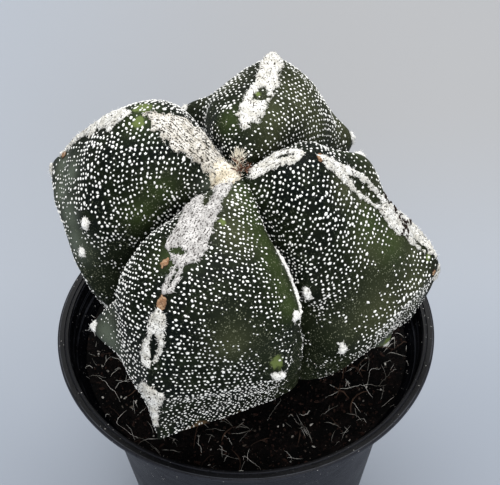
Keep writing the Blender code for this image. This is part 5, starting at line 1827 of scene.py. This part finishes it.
def wandering(rng, length, thick, bend):
    """A route that starts somewhere on the open soil and wanders over it."""
    while True:
        x, y = rng.uniform(-46, 46), rng.uniform(-46, 46)
        if math.hypot(x, y) < FIBRE_START and math.hypot(x - CROWN[0], y - CROWN[1]) > PLANT_CLEAR:
            break
    heading = rng.uniform(0, math.tau)
    turning = rng.gauss(0, bend)
    count = max(5, int(length / 0.8))
    lift = rng.uniform(0.1, 0.9)
    route = []
    for i in range(count):
        share = i / (count - 1)
        rise = lift * math.sin(math.pi * min(1.0, share * rng.uniform(0.9, 1.1)))
        taper = min(1.0, 0.35 + 3 * share, 0.25 + 2.5 * (1 - share))
        route.append((x, y, soil_height(x, y) + 0.25 + rise, thick * taper))
        turning += rng.gauss(0, bend * 0.6)
        heading += turning * 0.8
        ahead = length / (count - 1)
        x += ahead * math.cos(heading)
        y += ahead * math.sin(heading)
        if math.hypot(x, y) > FIBRE_END:
            break
    return route if len(route) > 3 else route * 2


def laid(rng, places, thick):
    """A route through chosen places, with small wobbles between them and a little lift off the soil."""
    knots = np.array(places, float)
    route = []
    count = 5 * (len(knots) - 1)
    for i in range(count + 1):
        (x, y), _ = along(knots, (len(knots) - 1) * i / count)
        x += rng.gauss(0, 0.05)
        y += rng.gauss(0, 0.05)
        taper = 0.55 + 0.45 * math.sin(math.pi * (0.1 + 0.8 * i / count))
        lift = 0.35 + 0.5 * math.sin(math.pi * i / count)
        route.append((x, y, soil_height(x, y) + lift, LAID_SHARE * thick * taper))
    return route


fibre_rng = random.Random(FIBRE_SEED)
pale_routes = [wandering(fibre_rng, fibre_rng.uniform(1.2, 6.0), fibre_rng.uniform(0.035, 0.07), 0.08)
               for _ in range(PALE_COUNT)]
pale_routes += [laid(fibre_rng, places, thick) for places, thick in LAID_FIBRES]
pale_routes.append([(x, y, -depth, WALL_CURL_RADIUS) for x, y, depth in WALL_CURL])
brown_routes = [wandering(fibre_rng, fibre_rng.uniform(4, 12), fibre_rng.uniform(0.10, 0.24), 0.08)
                for _ in range(BROWN_COUNT)]


def fibre_material(name, low, high):
    material, tree, shader, place = begin_material(name, 0.85, 0.15)
    colour = paint(tree, band(tree, cloud(tree, place, 6.0), 0.35, 0.65), low, high)
    tree.links.new(colour, shader.inputs["Base Color"])
    bump(tree, shader, cloud(tree, place, 0.3), 0.1, 0.5)
    return material


# For each piece: its routes, its material's name, its dark tone and its light tone
FIBRES = {
    "pale_fibres": (pale_routes, "pale_fibre", (0.20, 0.185, 0.16), (0.90, 0.88, 0.82)),
    "brown_roots": (brown_routes, "brown_root", (0.022, 0.013, 0.010), (0.085, 0.050, 0.035)),
}
thickness = fibre_tree()
for piece_name, (routes, *finish) in FIBRES.items():
    curves = fibre_curves(piece_name + "_routes", routes)
    settle(run_tree(thickness, curves, piece_name, Finish=fibre_material(*finish)), "dried_spine")

# %% [markdown]
# ## Floor, light and background
#
# The plant stands on a pale surface that fills the picture. Its colour is painted darker towards the front as
# painted shade, and more neutral far back on the right. The light is a large soft box above and a little
# behind, with a weaker one in front of the pot and an even pale sky for the shadows.

# %% Floor and light
FLOOR_SIZE = 3000.0
LIGHT_SIZE = 1.1
LIGHT_PLACE = (0.05, 0.38, 1.20)
LIGHT_WATTS = 17.0
LIGHT_AIM = (0, 0, 0.1)
FILL_SIZE = 0.7
FILL_PLACE = (0.20, -0.95, 0.55)
FILL_WATTS = 6.0
SKY_COLOUR = (0.95, 0.97, 1.0)
SKY_STRENGTH = 0.58


def floor_material():
    material, tree, shader, place = begin_material("pale_floor", 0.85, 0.2)
    split = add_node(tree, "ShaderNodeSeparateXYZ", {"Vector": place})
    # Painted shade: the floor is darker towards the front
    near = band(tree, split.outputs["Y"], 110.0, 10.0)
    colour = paint(tree, near, (0.338, 0.366, 0.410), (0.280, 0.308, 0.354))
    # The far right is painted a more neutral grey
    far = combine(tree, "MULTIPLY", band(tree, split.outputs["X"], -150.0, 60.0),
                  band(tree, split.outputs["Y"], 60.0, 200.0))
    colour = paint(tree, far, colour, (0.332, 0.336, 0.345))
    tree.links.new(colour, shader.inputs["Base Color"])
    return material


half = FLOOR_SIZE / 2
floor_points = [(-half, -half, -RIM), (half, -half, -RIM), (half, half, -RIM), (-half, half, -RIM)]
floor = make_piece("floor", floor_points, [(0, 1, 2, 3)], floor_material(), smooth=False)


def soft_box(name, size, watts, place):
    """A square lamp that faces the plant."""
    data = bpy.data.lights.new(name, "AREA")
    data.size = size
    data.energy = watts
    lamp = put_in_scene(name, data)
    lamp.location = place
    lamp.rotation_euler = (Vector(LIGHT_AIM) - Vector(place)).to_track_quat("-Z", "Y").to_euler()


soft_box("soft_box", LIGHT_SIZE, LIGHT_WATTS, LIGHT_PLACE)
soft_box("fill_box", FILL_SIZE, FILL_WATTS, FILL_PLACE)
sky = bpy.data.worlds.new("sky")
sky.use_nodes = True
sky.node_tree.nodes["Background"].inputs["Color"].default_value = (*SKY_COLOUR, 1.0)
sky.node_tree.nodes["Background"].inputs["Strength"].default_value = SKY_STRENGTH
bpy.context.scene.world = sky
print("floor and light in place")
